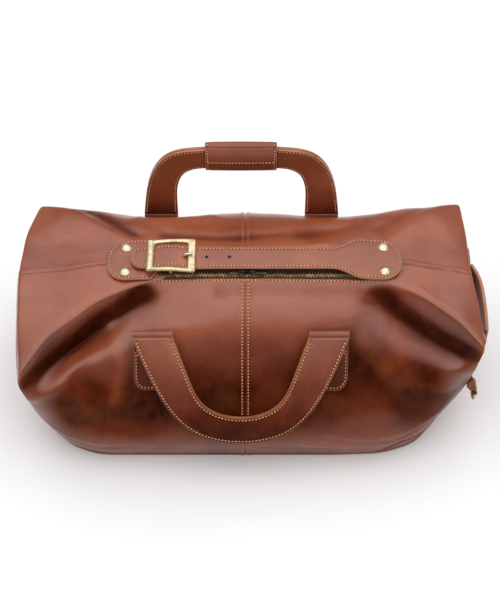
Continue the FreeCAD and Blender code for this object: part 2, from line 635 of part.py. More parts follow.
def handle_patches():
    """The sewn feet of both handles, lying on the leather."""
    sides = {
        "front_handle_patch_left": (FRONT_LEFT, -1, FRONT_PIVOT[1] - 4, 118, 74),
        "front_handle_patch_right": (FRONT_RIGHT, 1, FRONT_PIVOT[1] - 4, 118, 74),
        "rear_handle_patch_left": (BACK_LEFT, -1, REAR_PIVOT[1] - 2, 112, 71),
        "rear_handle_patch_right": (BACK_RIGHT, 1, REAR_PIVOT[1] - 2, 112, 71),
    }
    depth = 52.0
    for name, (lines, side, top, outer, inner) in sides.items():
        surface = surface_through(vectors(lines))
        grid = []
        for step in range(9):
            z = top - depth * (8 - step) / 8
            row = []
            for across in range(6):
                x = HANDLE_CENTRE_X + side * (inner + (outer - inner) * across / 5)
                row.append(on_panel(surface, x, z))
            grid.append(row)
        save(name, thin_solid(grid, -PATCH_LIFT - PATCH_THICK, -PATCH_LIFT, INSIDE))


# ---------------------------------------------------------------- ends
END_LOOP = ((260.0, 34), (269, 18), (273, -14), (270.5, -44), (265.5, -61))
END_LOOP_Z, END_LOOP_HEIGHT, END_LOOP_THICK = 150.0, 28.0, 4.0
RING_R, RING_WIRE, RING_STANDOFF = 12.0, 1.6, 5.0
RING_TAB_WIDTH, RING_TAB_HEIGHT = 18.0, 28.0


def end_handle():
    """A wide strap that stands off the right end as a loop."""
    def offset_points(distance):
        points = []
        for x, y in END_LOOP:
            away = V(x - 225, y + 14, 0).normalize()
            points.append(V(x, y, END_LOOP_Z - END_LOOP_HEIGHT / 2) + away * distance)
        return points

    inner, outer = Part.BSplineCurve(), Part.BSplineCurve()
    a, b = offset_points(0.0), offset_points(END_LOOP_THICK)
    inner.interpolate(a)
    outer.interpolate(b)
    edges = [inner.toShape(), Part.LineSegment(a[-1], b[-1]).toShape(), outer.toShape(),
             Part.LineSegment(b[0], a[0]).toShape()]
    loop = Part.Face(Part.Wire(Part.__sortEdges__(edges))).extrude(V(0, 0, END_LOOP_HEIGHT))
    save("end_handle", loop)


def on_end(surface, y, z):
    """The point of a gusset's upright part at a given y and height."""
    ray = Part.Line(V(-400, y, z), V(400, y, z))
    point = ray.intersectCS(surface)[0][0]
    return V(point.X, point.Y, point.Z)


def end_handle_anchors():
    """The two sewn feet of the end handle."""
    low, high = END_LOOP_Z - END_LOOP_HEIGHT / 2, END_LOOP_Z + END_LOOP_HEIGHT / 2
    spans = {
        "end_handle_anchor_back": (RIGHT_BACK, END_LOOP[0][1] + 2, END_LOOP[0][1] + 24),
        "end_handle_anchor_front": (RIGHT_FRONT, END_LOOP[-1][1] - 14, END_LOOP[-1][1] - 2),
    }
    for name, (lines, y0, y1) in spans.items():
        surface = surface_through(vectors(lines))
        grid = []
        for row in range(4):
            z = low + (high - low) * row / 3
            grid.append([on_end(surface, y0 + (y1 - y0) * step / 3, z) for step in range(4)])
        save(name, thin_solid(grid, -0.2 - LEATHER, -0.2, INSIDE))


def ring_places():
    """Where each ring's straight bar sits: low on the ends, at opposite corners."""
    places = {}
    for side, lines, y, outward in (("right", RIGHT_FRONT, -66.0, 1), ("left", LEFT_BACK, 66.0, -1)):
        surface = surface_through(vectors(lines))
        wall = on_end(surface, y, 62.0 + RING_TAB_HEIGHT)
        places[side] = (V(wall.x + outward * RING_STANDOFF, y, 62.0), outward)
    return places


def rings():
    """A metal D-ring on a leather tab at each end."""
    for side, (centre, outward) in ring_places().items():
        bow = Part.makeTorus(RING_R, RING_WIRE, centre, V(1, 0, 0))
        bow = bow.common(Part.makeBox(60, 60, 40, centre - V(30, 30, 40)))
        ring = bow.fuse(cylinder(RING_WIRE, 2 * (RING_R + RING_WIRE), tuple(centre), (0, 1, 0)))
        save("d_ring_" + side, ring)

        half = RING_TAB_WIDTH / 2
        loop_r = RING_WIRE + 0.3
        start = centre - V(0, half, 0)
        hem = Part.makeCylinder(loop_r + 1.6, RING_TAB_WIDTH, start, V(0, 1, 0))
        x_near = centre.x - outward * (loop_r + 1.6)
        x_low, x_high = sorted((x_near, x_near + outward * 2.6))
        plate = box(x_low, x_high, centre.y - half, centre.y + half, centre.z, centre.z + RING_TAB_HEIGHT)
        tab = hem.fuse(plate).cut(Part.makeCylinder(loop_r, RING_TAB_WIDTH, start, V(0, 1, 0)))
        save("ring_tab_" + side, tab.removeSplitter())


# ---------------------------------------------------------------- build
def main():
    panels()
    gussets()
    lining()
    base()
    zip_tapes()
    zip_teeth()
    zip_stops()
    zip_sliders()
    zip_pulls()
    left_tab()
    chape()
    buckle()
    prong()
    closure_strap()
    rivets()
    handles()
    handle_wrap()
    handle_patches()
    end_handle()
    end_handle_anchors()
    rings()


main()
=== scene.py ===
"""Leather duffel bag, the visual model: a sagging lofted skin, sewn straps and brass fittings.

Sizes are in millimetres in the frame's own axes: the front faces -Y and the grab handle is at +X.
"""
import json
import math

import bmesh
import bpy
import numpy as np
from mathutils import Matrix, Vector, noise
from mathutils.bvhtree import BVHTree


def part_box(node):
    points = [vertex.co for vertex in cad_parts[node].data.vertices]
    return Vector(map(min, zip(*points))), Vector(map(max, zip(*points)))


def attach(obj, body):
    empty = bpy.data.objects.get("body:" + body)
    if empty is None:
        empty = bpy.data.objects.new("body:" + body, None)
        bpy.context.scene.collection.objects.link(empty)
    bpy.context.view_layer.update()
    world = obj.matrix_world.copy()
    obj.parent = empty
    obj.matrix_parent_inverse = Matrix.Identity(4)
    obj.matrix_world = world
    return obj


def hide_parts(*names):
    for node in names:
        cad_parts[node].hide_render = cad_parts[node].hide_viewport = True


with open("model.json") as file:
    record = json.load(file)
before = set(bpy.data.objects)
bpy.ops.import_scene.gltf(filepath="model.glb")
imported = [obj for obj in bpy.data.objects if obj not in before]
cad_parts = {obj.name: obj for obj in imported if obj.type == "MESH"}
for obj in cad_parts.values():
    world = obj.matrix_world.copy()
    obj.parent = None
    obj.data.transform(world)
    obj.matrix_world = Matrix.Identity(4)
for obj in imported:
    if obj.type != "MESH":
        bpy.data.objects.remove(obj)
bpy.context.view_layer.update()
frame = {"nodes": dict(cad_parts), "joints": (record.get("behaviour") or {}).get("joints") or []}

MM = 0.001

# ---------------------------------------------------------------- driving dimensions
SKIN_THICK = 2.4
LINING_DEPTH, LINING_THICK = 3.4, 0.8
STITCH_PITCH, STITCH_LENGTH, STITCH_R = 3.8, 2.7, 0.70
STITCH_INSET = 2.7          # from a sewn edge to its row of stitches
STITCH_LIFT = 0.10          # how far the middle of a stitch stands off the leather
HOLE_SIZE = (0.85, 0.85, 0.4)
GROOVE_DEPTH, GROOVE_HALF = 0.4, 0.8
SEAM_ROW = 3.4              # from a seam to the row of stitches on each side of it
STRAP_THICK, TAB_THICK, PLY_THICK, PATCH_THICK = 3.4, 3.0, 3.5, 2.4
FOLD_R = 4.7                # the rolled fold where a handle turns out of its sewn foot
FOLD_EDGE_R = 1.3           # the rounding of that fold's two ends
STRAP_Y, TAB_Y, STRAP_HALF, TAB_HALF = 4.0, 6.0, 15.0, 28.0
TAB_BAND = (TAB_Y - TAB_HALF, TAB_Y + TAB_HALF)
BUCKLE_X = -81.5
BAR_Z = 209.6               # the buckle's centre bar
STRAP_LOW = 209.4           # the strap's underside between the buckle and the right tab
STRAP_HUMP = BAR_Z + 3.6    # and where it climbs over the centre bar
FRONT_DROOP, FRONT_BOW, REAR_BOW = math.radians(57.5), 9.0, 5.0
HANDLE_X = -5.0             # middle of both carry handles
HOLE_X = (-42.5, -17.5)     # the spare holes of the closure strap
PRONG_HOLE_X = BUCKLE_X + 14.5
TOOTH_PITCH = 3.2
SEAM_LOW, FRONT_SEAM_TOP, BACK_SEAM_TOP = 84, 203, 176      # how far the centre seams are stitched
FRONT_PATCH, REAR_PATCH = (110, 153), (96, 138)             # lowest and highest point of a sewn foot
FOOT_TONES = (-1.0, 0.4)
# Painted light and shade along the carry handles: the front one lighter at its fold and shaded at its grip,
# the rear one shaded at its foot with a painted sheen up its legs.
FRONT_HANDLE_PAINTED_LIGHT_AND_SHADE = (1.0, 0.3, -1.2, -2.4)
REAR_HANDLE_PAINTED_SHEEN_AND_SHADE = (-1.4, 0.2, 1.5, 1.8, 1.1, 0.7)
RING_R, RING_WIRE_R = 12.0, 1.6

# Lines across the bag's skin, each from the left end to the right end.
FRONT_LINES = (
    ((-228, -76, 4), (-203, -105, 4), (-169, -118, 4), (-112, -118, 4), (-82, -118, 4), (-3, -118, 4),
     (82, -118, 4), (106, -118, 4), (157, -116, 4), (197, -102, 4), (221, -70, 4)),
    ((-239, -92, 45), (-212, -118, 45), (-170, -131, 45), (-112, -132, 45), (-82, -132, 45), (-3, -132, 45),
     (86, -131, 45), (110, -131, 45), (165, -127, 45), (204, -109, 45), (236, -76, 45)),
    ((-244, -104, 92), (-219, -115, 90), (-172, -118, 95), (-112, -115, 97), (-82, -114, 97), (-3, -113, 98),
     (90, -113, 98), (115, -113, 98), (176, -112, 97), (224, -96, 97), (254, -79, 100)),
    ((-240, -119, 105), (-215, -114, 122), (-165, -84, 145), (-112, -67, 162), (-82, -65, 167),
     (-3, -64, 171), (104, -61, 167), (131, -61, 163), (180, -81, 144), (225, -96, 130), (255, -88, 124)),
    ((-248, -121, 136), (-213, -74, 129), (-165, -44, 145), (-112, -33, 179), (-85, -39, 188), (-3, -38, 194),
     (116, -37, 190), (139, -35, 184), (184, -46, 152), (228, -70, 138), (259, -87, 145)),
    ((-243, -121, 160), (-218, -89, 181), (-165, -49, 198), (-118, -27, 203), (-94, -16.7, 204),
     (-3, -16.2, 204.5), (139, -17.4, 204), (155, -22, 203), (196, -38, 198), (237, -69, 185),
     (261, -90, 166)),
)
TOP_LINES = (
    ((-250, -58, 175), (-213, -38, 189), (-165, -19, 198), (-119, -12, 203.5), (-98, -13.6, 204),
     (-3, -14.5, 204.6), (143, -13.6, 204), (155, -10, 203.5), (193, -14, 198), (230, -30, 190),
     (258, -40, 177)),
    ((-253, 4, 182), (-212, 5, 191), (-165, 6, 198.5), (-125, 6, 204), (-99, -11.5, 204.2), (-3, -13, 204.6),
     (144, -11.5, 204.2), (155, 6, 204), (190, 7, 199), (224, 10, 192), (251, 4, 182)),
    ((-252, 64, 178), (-209, 52, 190), (-166, 37, 198), (-127, 20, 203.5), (-98, -9.5, 204),
     (-3, -10.5, 204.6), (143, -9.5, 204), (156, 20, 203.5), (190, 38, 198), (225, 54, 190), (251, 60, 179)),
)
BACK_LINES = (
    ((-237, 119, 173), (-203, 99, 187), (-165, 70, 198), (-129, 37, 203.5), (-96, -7.5, 204),
     (-3, -8.5, 204.5), (141, -7.5, 204), (158, 37, 203.5), (191, 73, 198), (224, 105, 187), (249, 122, 173)),
    ((-238, 112, 161), (-201, 106, 177), (-162, 97, 184), (-122, 72, 194), (-96, 72, 195), (-3, 80, 195.5),
     (122, 74, 195), (144, 82, 193), (181, 104, 184), (213, 110, 176), (247, 115, 162)),
    ((-240, 109, 150), (-206, 113, 152), (-160, 113, 161), (-110, 106, 164), (-84, 106, 165), (-3, 111, 168),
     (90, 106, 165), (114, 106, 164), (166, 112, 161), (212, 114, 153), (249, 113, 151)),
    ((-244, 100, 98), (-216, 120, 98), (-168, 126, 98), (-112, 128, 100), (-84, 128, 100), (-3, 128, 100),
     (86, 128, 100), (112, 128, 100), (170, 127, 98), (220, 121, 98), (249, 102, 98)),
    ((-240, 90, 45), (-214, 118, 45), (-170, 129, 45), (-112, 131, 45), (-84, 131, 45), (-3, 131, 45),
     (86, 131, 45), (112, 131, 45), (169, 129, 45), (214, 118, 45), (241, 90, 45)),
    ((-231, 76, 4), (-207, 106, 4), (-165, 117, 4), (-112, 118, 4), (-82, 118, 4), (-3, 118, 4),
     (82, 118, 4), (106, 118, 4), (160, 116, 4), (200, 105, 4), (226, 74, 4)),
)
LEFT_FOOT = ((-228, -76, 4), (-238, -42, 4), (-239, 0, 4), (-238, 42, 4), (-231, 76, 4))
RIGHT_FOOT = ((221, -70, 4), (229, -40, 4), (232, 0, 4), (232, 40, 4), (226, 74, 4))
END_BULGE = 6.0

# Soft swells, hollows and wrinkles: (height, half width, points), the points in two of the axes.
FRONT_FOLDS = (
    (1.8, 9, ((-150, 154), (-139, 138), (-139, 120), (-147, 102))),
    (-4.5, 15, ((-182, 126), (-166, 112))),
    (-3.0, 20, ((-104, 132), (-106, 96))),
    (-4.0, 24, ((196, 118), (180, 96))),
    (3.0, 12, ((128, 150), (170, 122), (222, 108))),
    (-3.0, 16, ((70, 120), (60, 90))),
    (1.1, 4.0, ((86, 58), (150, 47), (220, 60))),
    (-1.2, 4.0, ((100, 47), (160, 37), (214, 46))),
    (1.0, 3.6, ((70, 36), (130, 27), (196, 33))),
    (-0.9, 3.4, ((20, 30), (80, 24), (140, 19))),
    (1.0, 4.0, ((-222, 52), (-190, 42), (-140, 40))),
    (-1.0, 3.6, ((-212, 38), (-170, 30), (-120, 31))),
    (0.8, 3.4, ((-190, 22), (-140, 19), (-80, 24))),
)
TOP_FOLDS = (
    (-3.5, 26, ((-205, -34), (-206, 36))),
    (-2.5, 24, ((212, -20), (214, 42))),
    (-2.0, 8, ((-176, 88), (-146, 62), (-122, 48))),
    (3.5, 10, ((-120, 84), (-80, 78), (-40, 84))),
    (-3.0, 14, ((60, 52), (110, 62), (150, 78))),
    (2.4, 9, ((-60, 30), (20, 26), (90, 32))),
    (-2.0, 7, ((-90, 50), (-20, 44), (40, 50))),
    (-2.5, 10, ((-30, -34), (70, -34), (120, -36))),
)
BACK_FOLDS = (
    (-4.0, 26, ((-150, 110), (-60, 96), (40, 104))),
    (3.0, 18, ((-190, 72), (-60, 62), (90, 70))),
    (-3.0, 20, ((120, 120), (180, 92))),
    (1.0, 4.0, ((-180, 44), (-60, 36), (60, 44))),
    (-1.0, 4.0, ((-40, 30), (80, 34), (190, 44))),
)
END_FOLDS = (
    (-5.0, 26, ((-40, 130), (0, 120), (40, 132))),
    (3.0, 16, ((-60, 80), (10, 70), (60, 84))),
    (1.0, 4.0, ((-60, 40), (0, 32), (60, 42))),
)


# Painted light (above zero) and painted shade (below zero) in the leather's colour: (amount, half width,
# points).
FRONT_PAINTED_LIGHT_AND_SHADE = (
    (-2.0, 38, ((-90, 110), (0, 102), (90, 110))),
    (-2.3, 32, ((-186, 96), (-128, 88))),
    (-1.7, 32, ((140, 116), (180, 100), (214, 80))),
    (-1.1, 20, ((118, 154), (158, 140), (204, 126))),
    (0.9, 20, ((-76, 178), (0, 186), (96, 178))),
    (-0.5, 26, ((-190, 52), (0, 56), (190, 52))),
)
# Painted shade down the valleys under the upper folds, laid only on faces turned downward.
VALLEY_PAINTED_SHADE = (
    (-2.8, 13, ((-238, 140), (-213, 140), (-190, 148), (-165, 162), (-138, 176), (-116, 190), (-104, 198))),
    (-2.6, 12, ((136, 199), (150, 190), (168, 174), (186, 162), (206, 155), (228, 150), (252, 150))),
)
# Painted shade along the back side of the rear ridges on the top.
TOP_PAINTED_SHADE = (
    (-1.8, 8, ((-192, 100), (-165, 84), (-145, 66), (-128, 50))),
    (-0.9, 8, ((150, 54), (172, 75), (198, 97))),
)
# Painted light on faces that look up: full on the back and top, less on the end wings.
WING_PAINTED_TOP_LIGHT, BACK_PAINTED_TOP_LIGHT = 0.80, 1.00

UNEVENNESS = ((1.3, 75.0, 1), (0.5, 26.0, 2), (0.14, 9.0, 3))      # (height, size of the lumps, seed)
SEAM_HALF = 0.8             # half width of the groove along a seam


# ---------------------------------------------------------------- curves and fields
def joint_place(name):
    """A joint's point in millimetres."""
    found = [joint for joint in frame["joints"] if joint["name"] == name][0]
    return np.array(found["pos_m"], float) / MM


def span(node):
    """A CAD node's lowest and highest corners in millimetres."""
    low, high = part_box(node)
    return np.array(low) / MM, np.array(high) / MM


def nearest(values, target):
    """The number of the value that lies closest to a target."""
    return int(np.argmin(abs(values - target)))


def unit(vectors):
    """Vectors scaled to length one."""
    lengths = np.linalg.norm(vectors, axis=-1, keepdims=True)
    return vectors / np.maximum(lengths, 1e-9)


def cubic_weights(count, t):
    """Weights of a clamped cubic spline's control points at places t from 0 to 1."""
    spans = count - 3
    knots = np.concatenate([np.zeros(3), np.arange(spans + 1), np.full(3, spans)])
    x = np.clip(np.asarray(t, float) * spans, 0, spans - 1e-9)
    weights = [((x >= a) & (x < b)).astype(float) for a, b in zip(knots, knots[1:])]
    for degree in (1, 2, 3):
        raised = []
        for i in range(len(weights) - 1):
            rise = knots[i + degree] - knots[i]
            fall = knots[i + degree + 1] - knots[i + 1]
            value = np.zeros_like(x)
            if rise > 0:
                value = value + weights[i] * (x - knots[i]) / rise
            if fall > 0:
                value = value + weights[i + 1] * (knots[i + degree + 1] - x) / fall
            raised.append(value)
        weights = raised
    return np.stack(weights, axis=1)


def with_midpoints(points):
    """One more point between each pair along the first axis, so that a spline hugs them."""
    out = np.empty((2 * len(points) - 1,) + points.shape[1:])
    out[0::2] = points
    out[1::2] = (points[:-1] + points[1:]) / 2
    return out


def hugging_curve(points, t):
    """Points at places t from 0 to 1 of a spline that stays close to its control points."""
    poles = with_midpoints(np.array(points, float))
    return cubic_weights(len(poles), t) @ poles


def curve_through(points, count):
    """Evenly spaced points of a natural cubic spline through the given ones."""
    points = np.array(points, float)
    n = len(points)
    chords = arc_lengths(points)
    h = np.diff(chords)
    system, right = np.eye(n), np.zeros_like(points)
    for i in range(1, n - 1):
        system[i, i - 1:i + 2] = h[i - 1], 2 * (h[i - 1] + h[i]), h[i]
        right[i] = 6 * ((points[i + 1] - points[i]) / h[i] - (points[i] - points[i - 1]) / h[i - 1])
    bend = np.linalg.solve(system, right)
    x = np.linspace(0, chords[-1], max(count * 4, 200))
    i = np.clip(np.searchsorted(chords, x, side="right") - 1, 0, n - 2)
    a = ((chords[i + 1] - x) / h[i])[:, None]
    b = ((x - chords[i]) / h[i])[:, None]
    dense = a * points[i] + b * points[i + 1]
    dense = dense + ((a ** 3 - a) * bend[i] + (b ** 3 - b) * bend[i + 1]) * (h[i] ** 2)[:, None] / 6
    return evenly(dense, count)


def arc_lengths(path):
    """How far along a polyline each of its points lies."""
    return np.concatenate([[0], np.cumsum(np.linalg.norm(np.diff(path, axis=0), axis=1))])


def evenly(path, count):
    """The same polyline with evenly spaced points."""
    lengths = arc_lengths(path)
    at = np.linspace(0, lengths[-1], count)
    return np.stack([np.interp(at, lengths, path[:, k]) for k in range(path.shape[1])], axis=1)


def round_angles(count):
    """Even angles once round a circle."""
    return np.linspace(0, 2 * math.pi, count, endpoint=False)


def soft_rectangle(half_a, half_b, count, power=2.7):
    """Points round a rectangle with rounded corners, sharper for a higher power."""
    angles = round_angles(count)
    c, s = np.cos(angles), np.sin(angles)
    reach = (abs(c / half_a) ** power + abs(s / half_b) ** power) ** (-1 / power)
    return np.stack([c * reach, s * reach], axis=1)


def path_length(path):
    """The whole length of a polyline."""
    return float(np.linalg.norm(np.diff(path, axis=0), axis=1).sum())


def distance_to(points, path):
    """Distance of each point to a polyline, in any number of axes."""
    best = np.full(len(points), 1e9)
    for a, b in zip(path[:-1], path[1:]):
        edge = b - a
        t = np.clip((points - a) @ edge / max(edge @ edge, 1e-9), 0, 1)
        best = np.minimum(best, np.linalg.norm(points - a - t[:, None] * edge, axis=1))
    return best


def fold_height(points, folds):
    """Sum of the soft folds at points given in two axes."""
    total = np.zeros(len(points))
    for height, width, path in folds:
        spread = distance_to(points, curve_through(path, 12) if len(path) > 2 else np.array(path, float))
        total += height * np.exp(-(spread / width) ** 2)
    return total


def rough_field(points, size, seed):
    """Smooth noise from -1 to 1 with lumps of a given size."""
    shift = Vector((seed * 17.3, seed * 5.1, seed * 9.7))
    return np.array([noise.noise(Vector(p / size) + shift) for p in points])


def seam_profile(away, depth, swell, row, half):
    """A seam at some distance from its line: a narrow groove between two soft swells."""
    return -depth * np.exp(-(away / SEAM_HALF) ** 2) + swell * np.exp(-((away - row) / half) ** 2)


def soft_step(x, start, end):
    """A smooth step from 0 at the start to 1 at the end."""
    t = np.clip((x - start) / (end - start), 0, 1)
    return t * t * (3 - 2 * t)


# ---------------------------------------------------------------- mesh helpers
def grid_faces(index, flip=False):
    """Quads between neighbouring entries of a grid of vertex numbers."""
    a, b, c, d = index[:-1, :-1], index[:-1, 1:], index[1:, 1:], index[1:, :-1]
    faces = np.stack([a, b, c, d], axis=-1).reshape(-1, 4)
    return faces[:, ::-1] if flip else faces


def wrapped(index):
    """A grid of vertex numbers whose first column is repeated at its end, to close it round."""
    return np.concatenate([index, index[:, :1]], axis=1)


def edge_pair(along, low, high):
    """Two long edges over the same stations, each side either one number or one for each station."""
    return [np.stack([along, np.broadcast_to(side, len(along))], axis=1) for side in (low, high)]


def open_at_gap(ring, widest):
    """A ring of points, begun after its largest gap when that is wider than a limit."""
    gaps = np.linalg.norm(np.diff(ring, axis=0), axis=1)
    if gaps.max() > widest:
        ring = np.roll(ring, -(int(np.argmax(gaps)) + 1), axis=0)
    return ring


def rounded_rise(gap, radius):
    """How far a rounded edge has risen at some distance in from its rim."""
    depth = np.clip(gap / radius, 0, 1)
    return radius * np.sqrt(np.clip(1 - (1 - depth) ** 2, 0, 1))


def make_piece(name, verts, faces, material, body="root", slot="body_leather", replaced=(),
               relief=None, normals=None, recalculate=True, tone=None):
    """A mesh piece from millimetre points, riding on a body.

    relief and tone are numbers for each point, and normals one direction for each face corner;
    recalculate turns all faces outward first.
    """
    mesh = bpy.data.meshes.new(name)
    mesh.from_pydata((np.asarray(verts) * MM).tolist(), [], [list(map(int, f)) for f in faces])
    for field, values in (("relief", relief), ("tone", tone)):
        if values is not None:
            layer = mesh.attributes.new(field, "FLOAT", "POINT")
            layer.data.foreach_set("value", np.asarray(values, np.float32))
    if recalculate:
        bm = bmesh.new()
        bm.from_mesh(mesh)
        bmesh.ops.recalc_face_normals(bm, faces=bm.faces)
        bm.to_mesh(mesh)
        bm.free()
    mesh.polygons.foreach_set("use_smooth", [True] * len(mesh.polygons))
    mesh.update()
    if normals is not None:
        mesh.normals_split_custom_set(normals.tolist())
    mesh.materials.append(material)
    piece = bpy.data.objects.new(name, mesh)
    bpy.context.scene.collection.objects.link(piece)
    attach(piece, body)
    if replaced:
        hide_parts(*replaced)
    return piece


def joined(parts):
    """One list of vertices and faces from several."""
    verts, faces, count = [], [], 0
    for part_verts, part_faces in parts:
        verts.append(np.asarray(part_verts, float))
        faces += [[int(i) + count for i in face] for face in part_faces]
        count += len(part_verts)
    return np.concatenate(verts), faces


def tube(path, radius, sides=10, closed=False, flat=1.0, up=(0, 0, 1)):
    """Vertices and faces of a round or flattened rod along a path."""
    path = np.asarray(path, float)
    if closed:
        ahead = np.roll(path, -1, axis=0) - np.roll(path, 1, axis=0)
    else:
        ahead = np.gradient(path, axis=0)
    ahead = unit(ahead)
    side = unit(np.cross(ahead, np.array(up, float)))
    lift = np.cross(side, ahead)
    radius = np.broadcast_to(radius, len(path))
    angles = round_angles(sides)
    rings = (path[:, None] + side[:, None] * np.cos(angles)[None, :, None] * radius[:, None, None]
             + lift[:, None] * np.sin(angles)[None, :, None] * radius[:, None, None] * flat)
    verts = rings.reshape(-1, 3)
    index = np.arange(len(verts)).reshape(len(path), sides)
    index = wrapped(index)
    if closed:
        index = np.concatenate([index, index[:1]], axis=0)
        return verts, grid_faces(index).tolist()
    faces = grid_faces(index).tolist()
    faces += [index[0, :-1][::-1].tolist(), index[-1, :-1].tolist()]
    return verts, faces


def lathe(profile, centre, sides=32):
    """Vertices and faces of a turned shape, from (radius, height) points that start on the axis."""
    profile = np.array(profile, float)
    angles = round_angles(sides)
    rings = [np.array([[0, 0, profile[0, 1]]])]
    for radius, height in profile[1:]:
        rings.append(np.stack([radius * np.cos(angles), radius * np.sin(angles),
                               np.full(sides, height)], axis=1))
    verts = np.concatenate(rings) + np.array(centre, float)
    index = 1 + np.arange((len(profile) - 1) * sides).reshape(-1, sides)
    index = wrapped(index)
    faces = grid_faces(index).tolist()
    faces += [[0, int(a), int(b)] for a, b in zip(index[0, :-1], index[0, 1:])]
    faces.append(index[-1, :-1][::-1].tolist())
    return verts, faces


# ---------------------------------------------------------------- materials
class Paint:
    """A material under construction."""

    def __init__(self, name):
        self.material = bpy.data.materials.new(name)
        self.material.use_nodes = True
        self.tree = self.material.node_tree
        self.shader = self.tree.nodes["Principled BSDF"]
        self.place = self.add("ShaderNodeTexCoord").outputs["Object"]

    def add(self, kind, **settings):
        """Add a node of some kind and set its properties."""
        node = self.tree.nodes.new(kind)
        for name, value in settings.items():
            setattr(node, name, value)
        return node

    def join(self, a, b):
        """Link an output socket to an input socket."""
        self.tree.links.new(a, b)

    def noise(self, scale, detail=3.0, roughness=0.55, warp=0.0, stretch=None):
        """Soft noise from 0 to 1, with its lumps stretched along an axis when asked."""
        node = self.add("ShaderNodeTexNoise")
        node.inputs["Scale"].default_value = scale
        node.inputs["Detail"].default_value = detail
        node.inputs["Roughness"].default_value = roughness
        node.inputs["Distortion"].default_value = warp
        self.join(self.stretched(stretch), node.inputs["Vector"])
        return node.outputs["Fac"]

    def stretched(self, stretch):
        """The piece's own coordinates, scaled along each axis."""
        if stretch is None:
            return self.place
        node = self.add("ShaderNodeMapping")
        node.inputs["Scale"].default_value = stretch
        self.join(self.place, node.inputs["Vector"])
        return node.outputs["Vector"]

    def cells(self, scale):
        """Distance to the edge of a cell pattern."""
        node = self.add("ShaderNodeTexVoronoi", feature="DISTANCE_TO_EDGE")
        node.inputs["Scale"].default_value = scale
        self.join(self.place, node.inputs["Vector"])
        return node.outputs["Distance"]

    def spread(self, value, low, high, to_low=0.0, to_high=1.0):
        """A value's range from low to high mapped on another range."""
        node = self.add("ShaderNodeMapRange")
        for socket, number in zip(("From Min", "From Max", "To Min", "To Max"), (low, high, to_low, to_high)):
            node.inputs[socket].default_value = number
        self.join(value, node.inputs["Value"])
        return node.outputs["Result"]

    def ramp(self, value, stops):
        """A colour from a value, by (place, colour) stops."""
        node = self.add("ShaderNodeValToRGB")
        elements = node.color_ramp.elements
        while len(elements) < len(stops):
            elements.new(0.5)
        for element, (place, colour) in zip(elements, stops):
            element.position = place
            element.color = (*colour, 1)
        self.join(value, node.inputs["Fac"])
        return node.outputs["Color"]

    def mix(self, factor, a, b):
        """Two colours blended by a factor; each may be a socket or a plain value."""
        node = self.add("ShaderNodeMix", data_type="RGBA", blend_type="MIX")
        for socket, value in ((node.inputs[0], factor), (node.inputs[6], a), (node.inputs[7], b)):
            if isinstance(value, bpy.types.NodeSocket):
                self.join(value, socket)
            elif isinstance(value, tuple):
                socket.default_value = (*value, 1)
            else:
                socket.default_value = value
        return node.outputs[2]

    def maths(self, kind, a, b):
        """One arithmetic step on two sockets or numbers."""
        node = self.add("ShaderNodeMath", operation=kind)
        for socket, value in zip(node.inputs, (a, b)):
            if isinstance(value, bpy.types.NodeSocket):
                self.join(value, socket)
            else:
                socket.default_value = value
        return node.outputs[0]

    def attribute(self, name):
        """A number stored at each point of the mesh."""
        return self.add("ShaderNodeAttribute", attribute_name=name).outputs["Fac"]

    def surface(self, colour, mottle, rough):
        """Set the colour, and a roughness that varies with a noise between two values."""
        self.join(colour, self.shader.inputs["Base Color"])
        self.join(self.spread(self.noise(*mottle), 0.3, 0.7, *rough), self.shader.inputs["Roughness"])

    def bump(self, layers):
        """Stack bumps, each (height, strength, distance in metres)."""
        last = None
        for height, strength, distance in layers:
            node = self.add("ShaderNodeBump")
            node.inputs["Strength"].default_value = strength
            node.inputs["Distance"].default_value = distance
            self.join(height, node.inputs["Height"])
            if last is not None:
                self.join(last, node.inputs["Normal"])
            last = node.outputs["Normal"]
        self.join(last, self.shader.inputs["Normal"])

    def set(self, **values):
        """Set plain values of the shader."""
        for name, value in values.items():
            self.shader.inputs[name.replace("_", " ")].default_value = value


def shaded(colour, amount):
    """A colour darkened evenly."""
    return tuple(channel * amount for channel in colour)


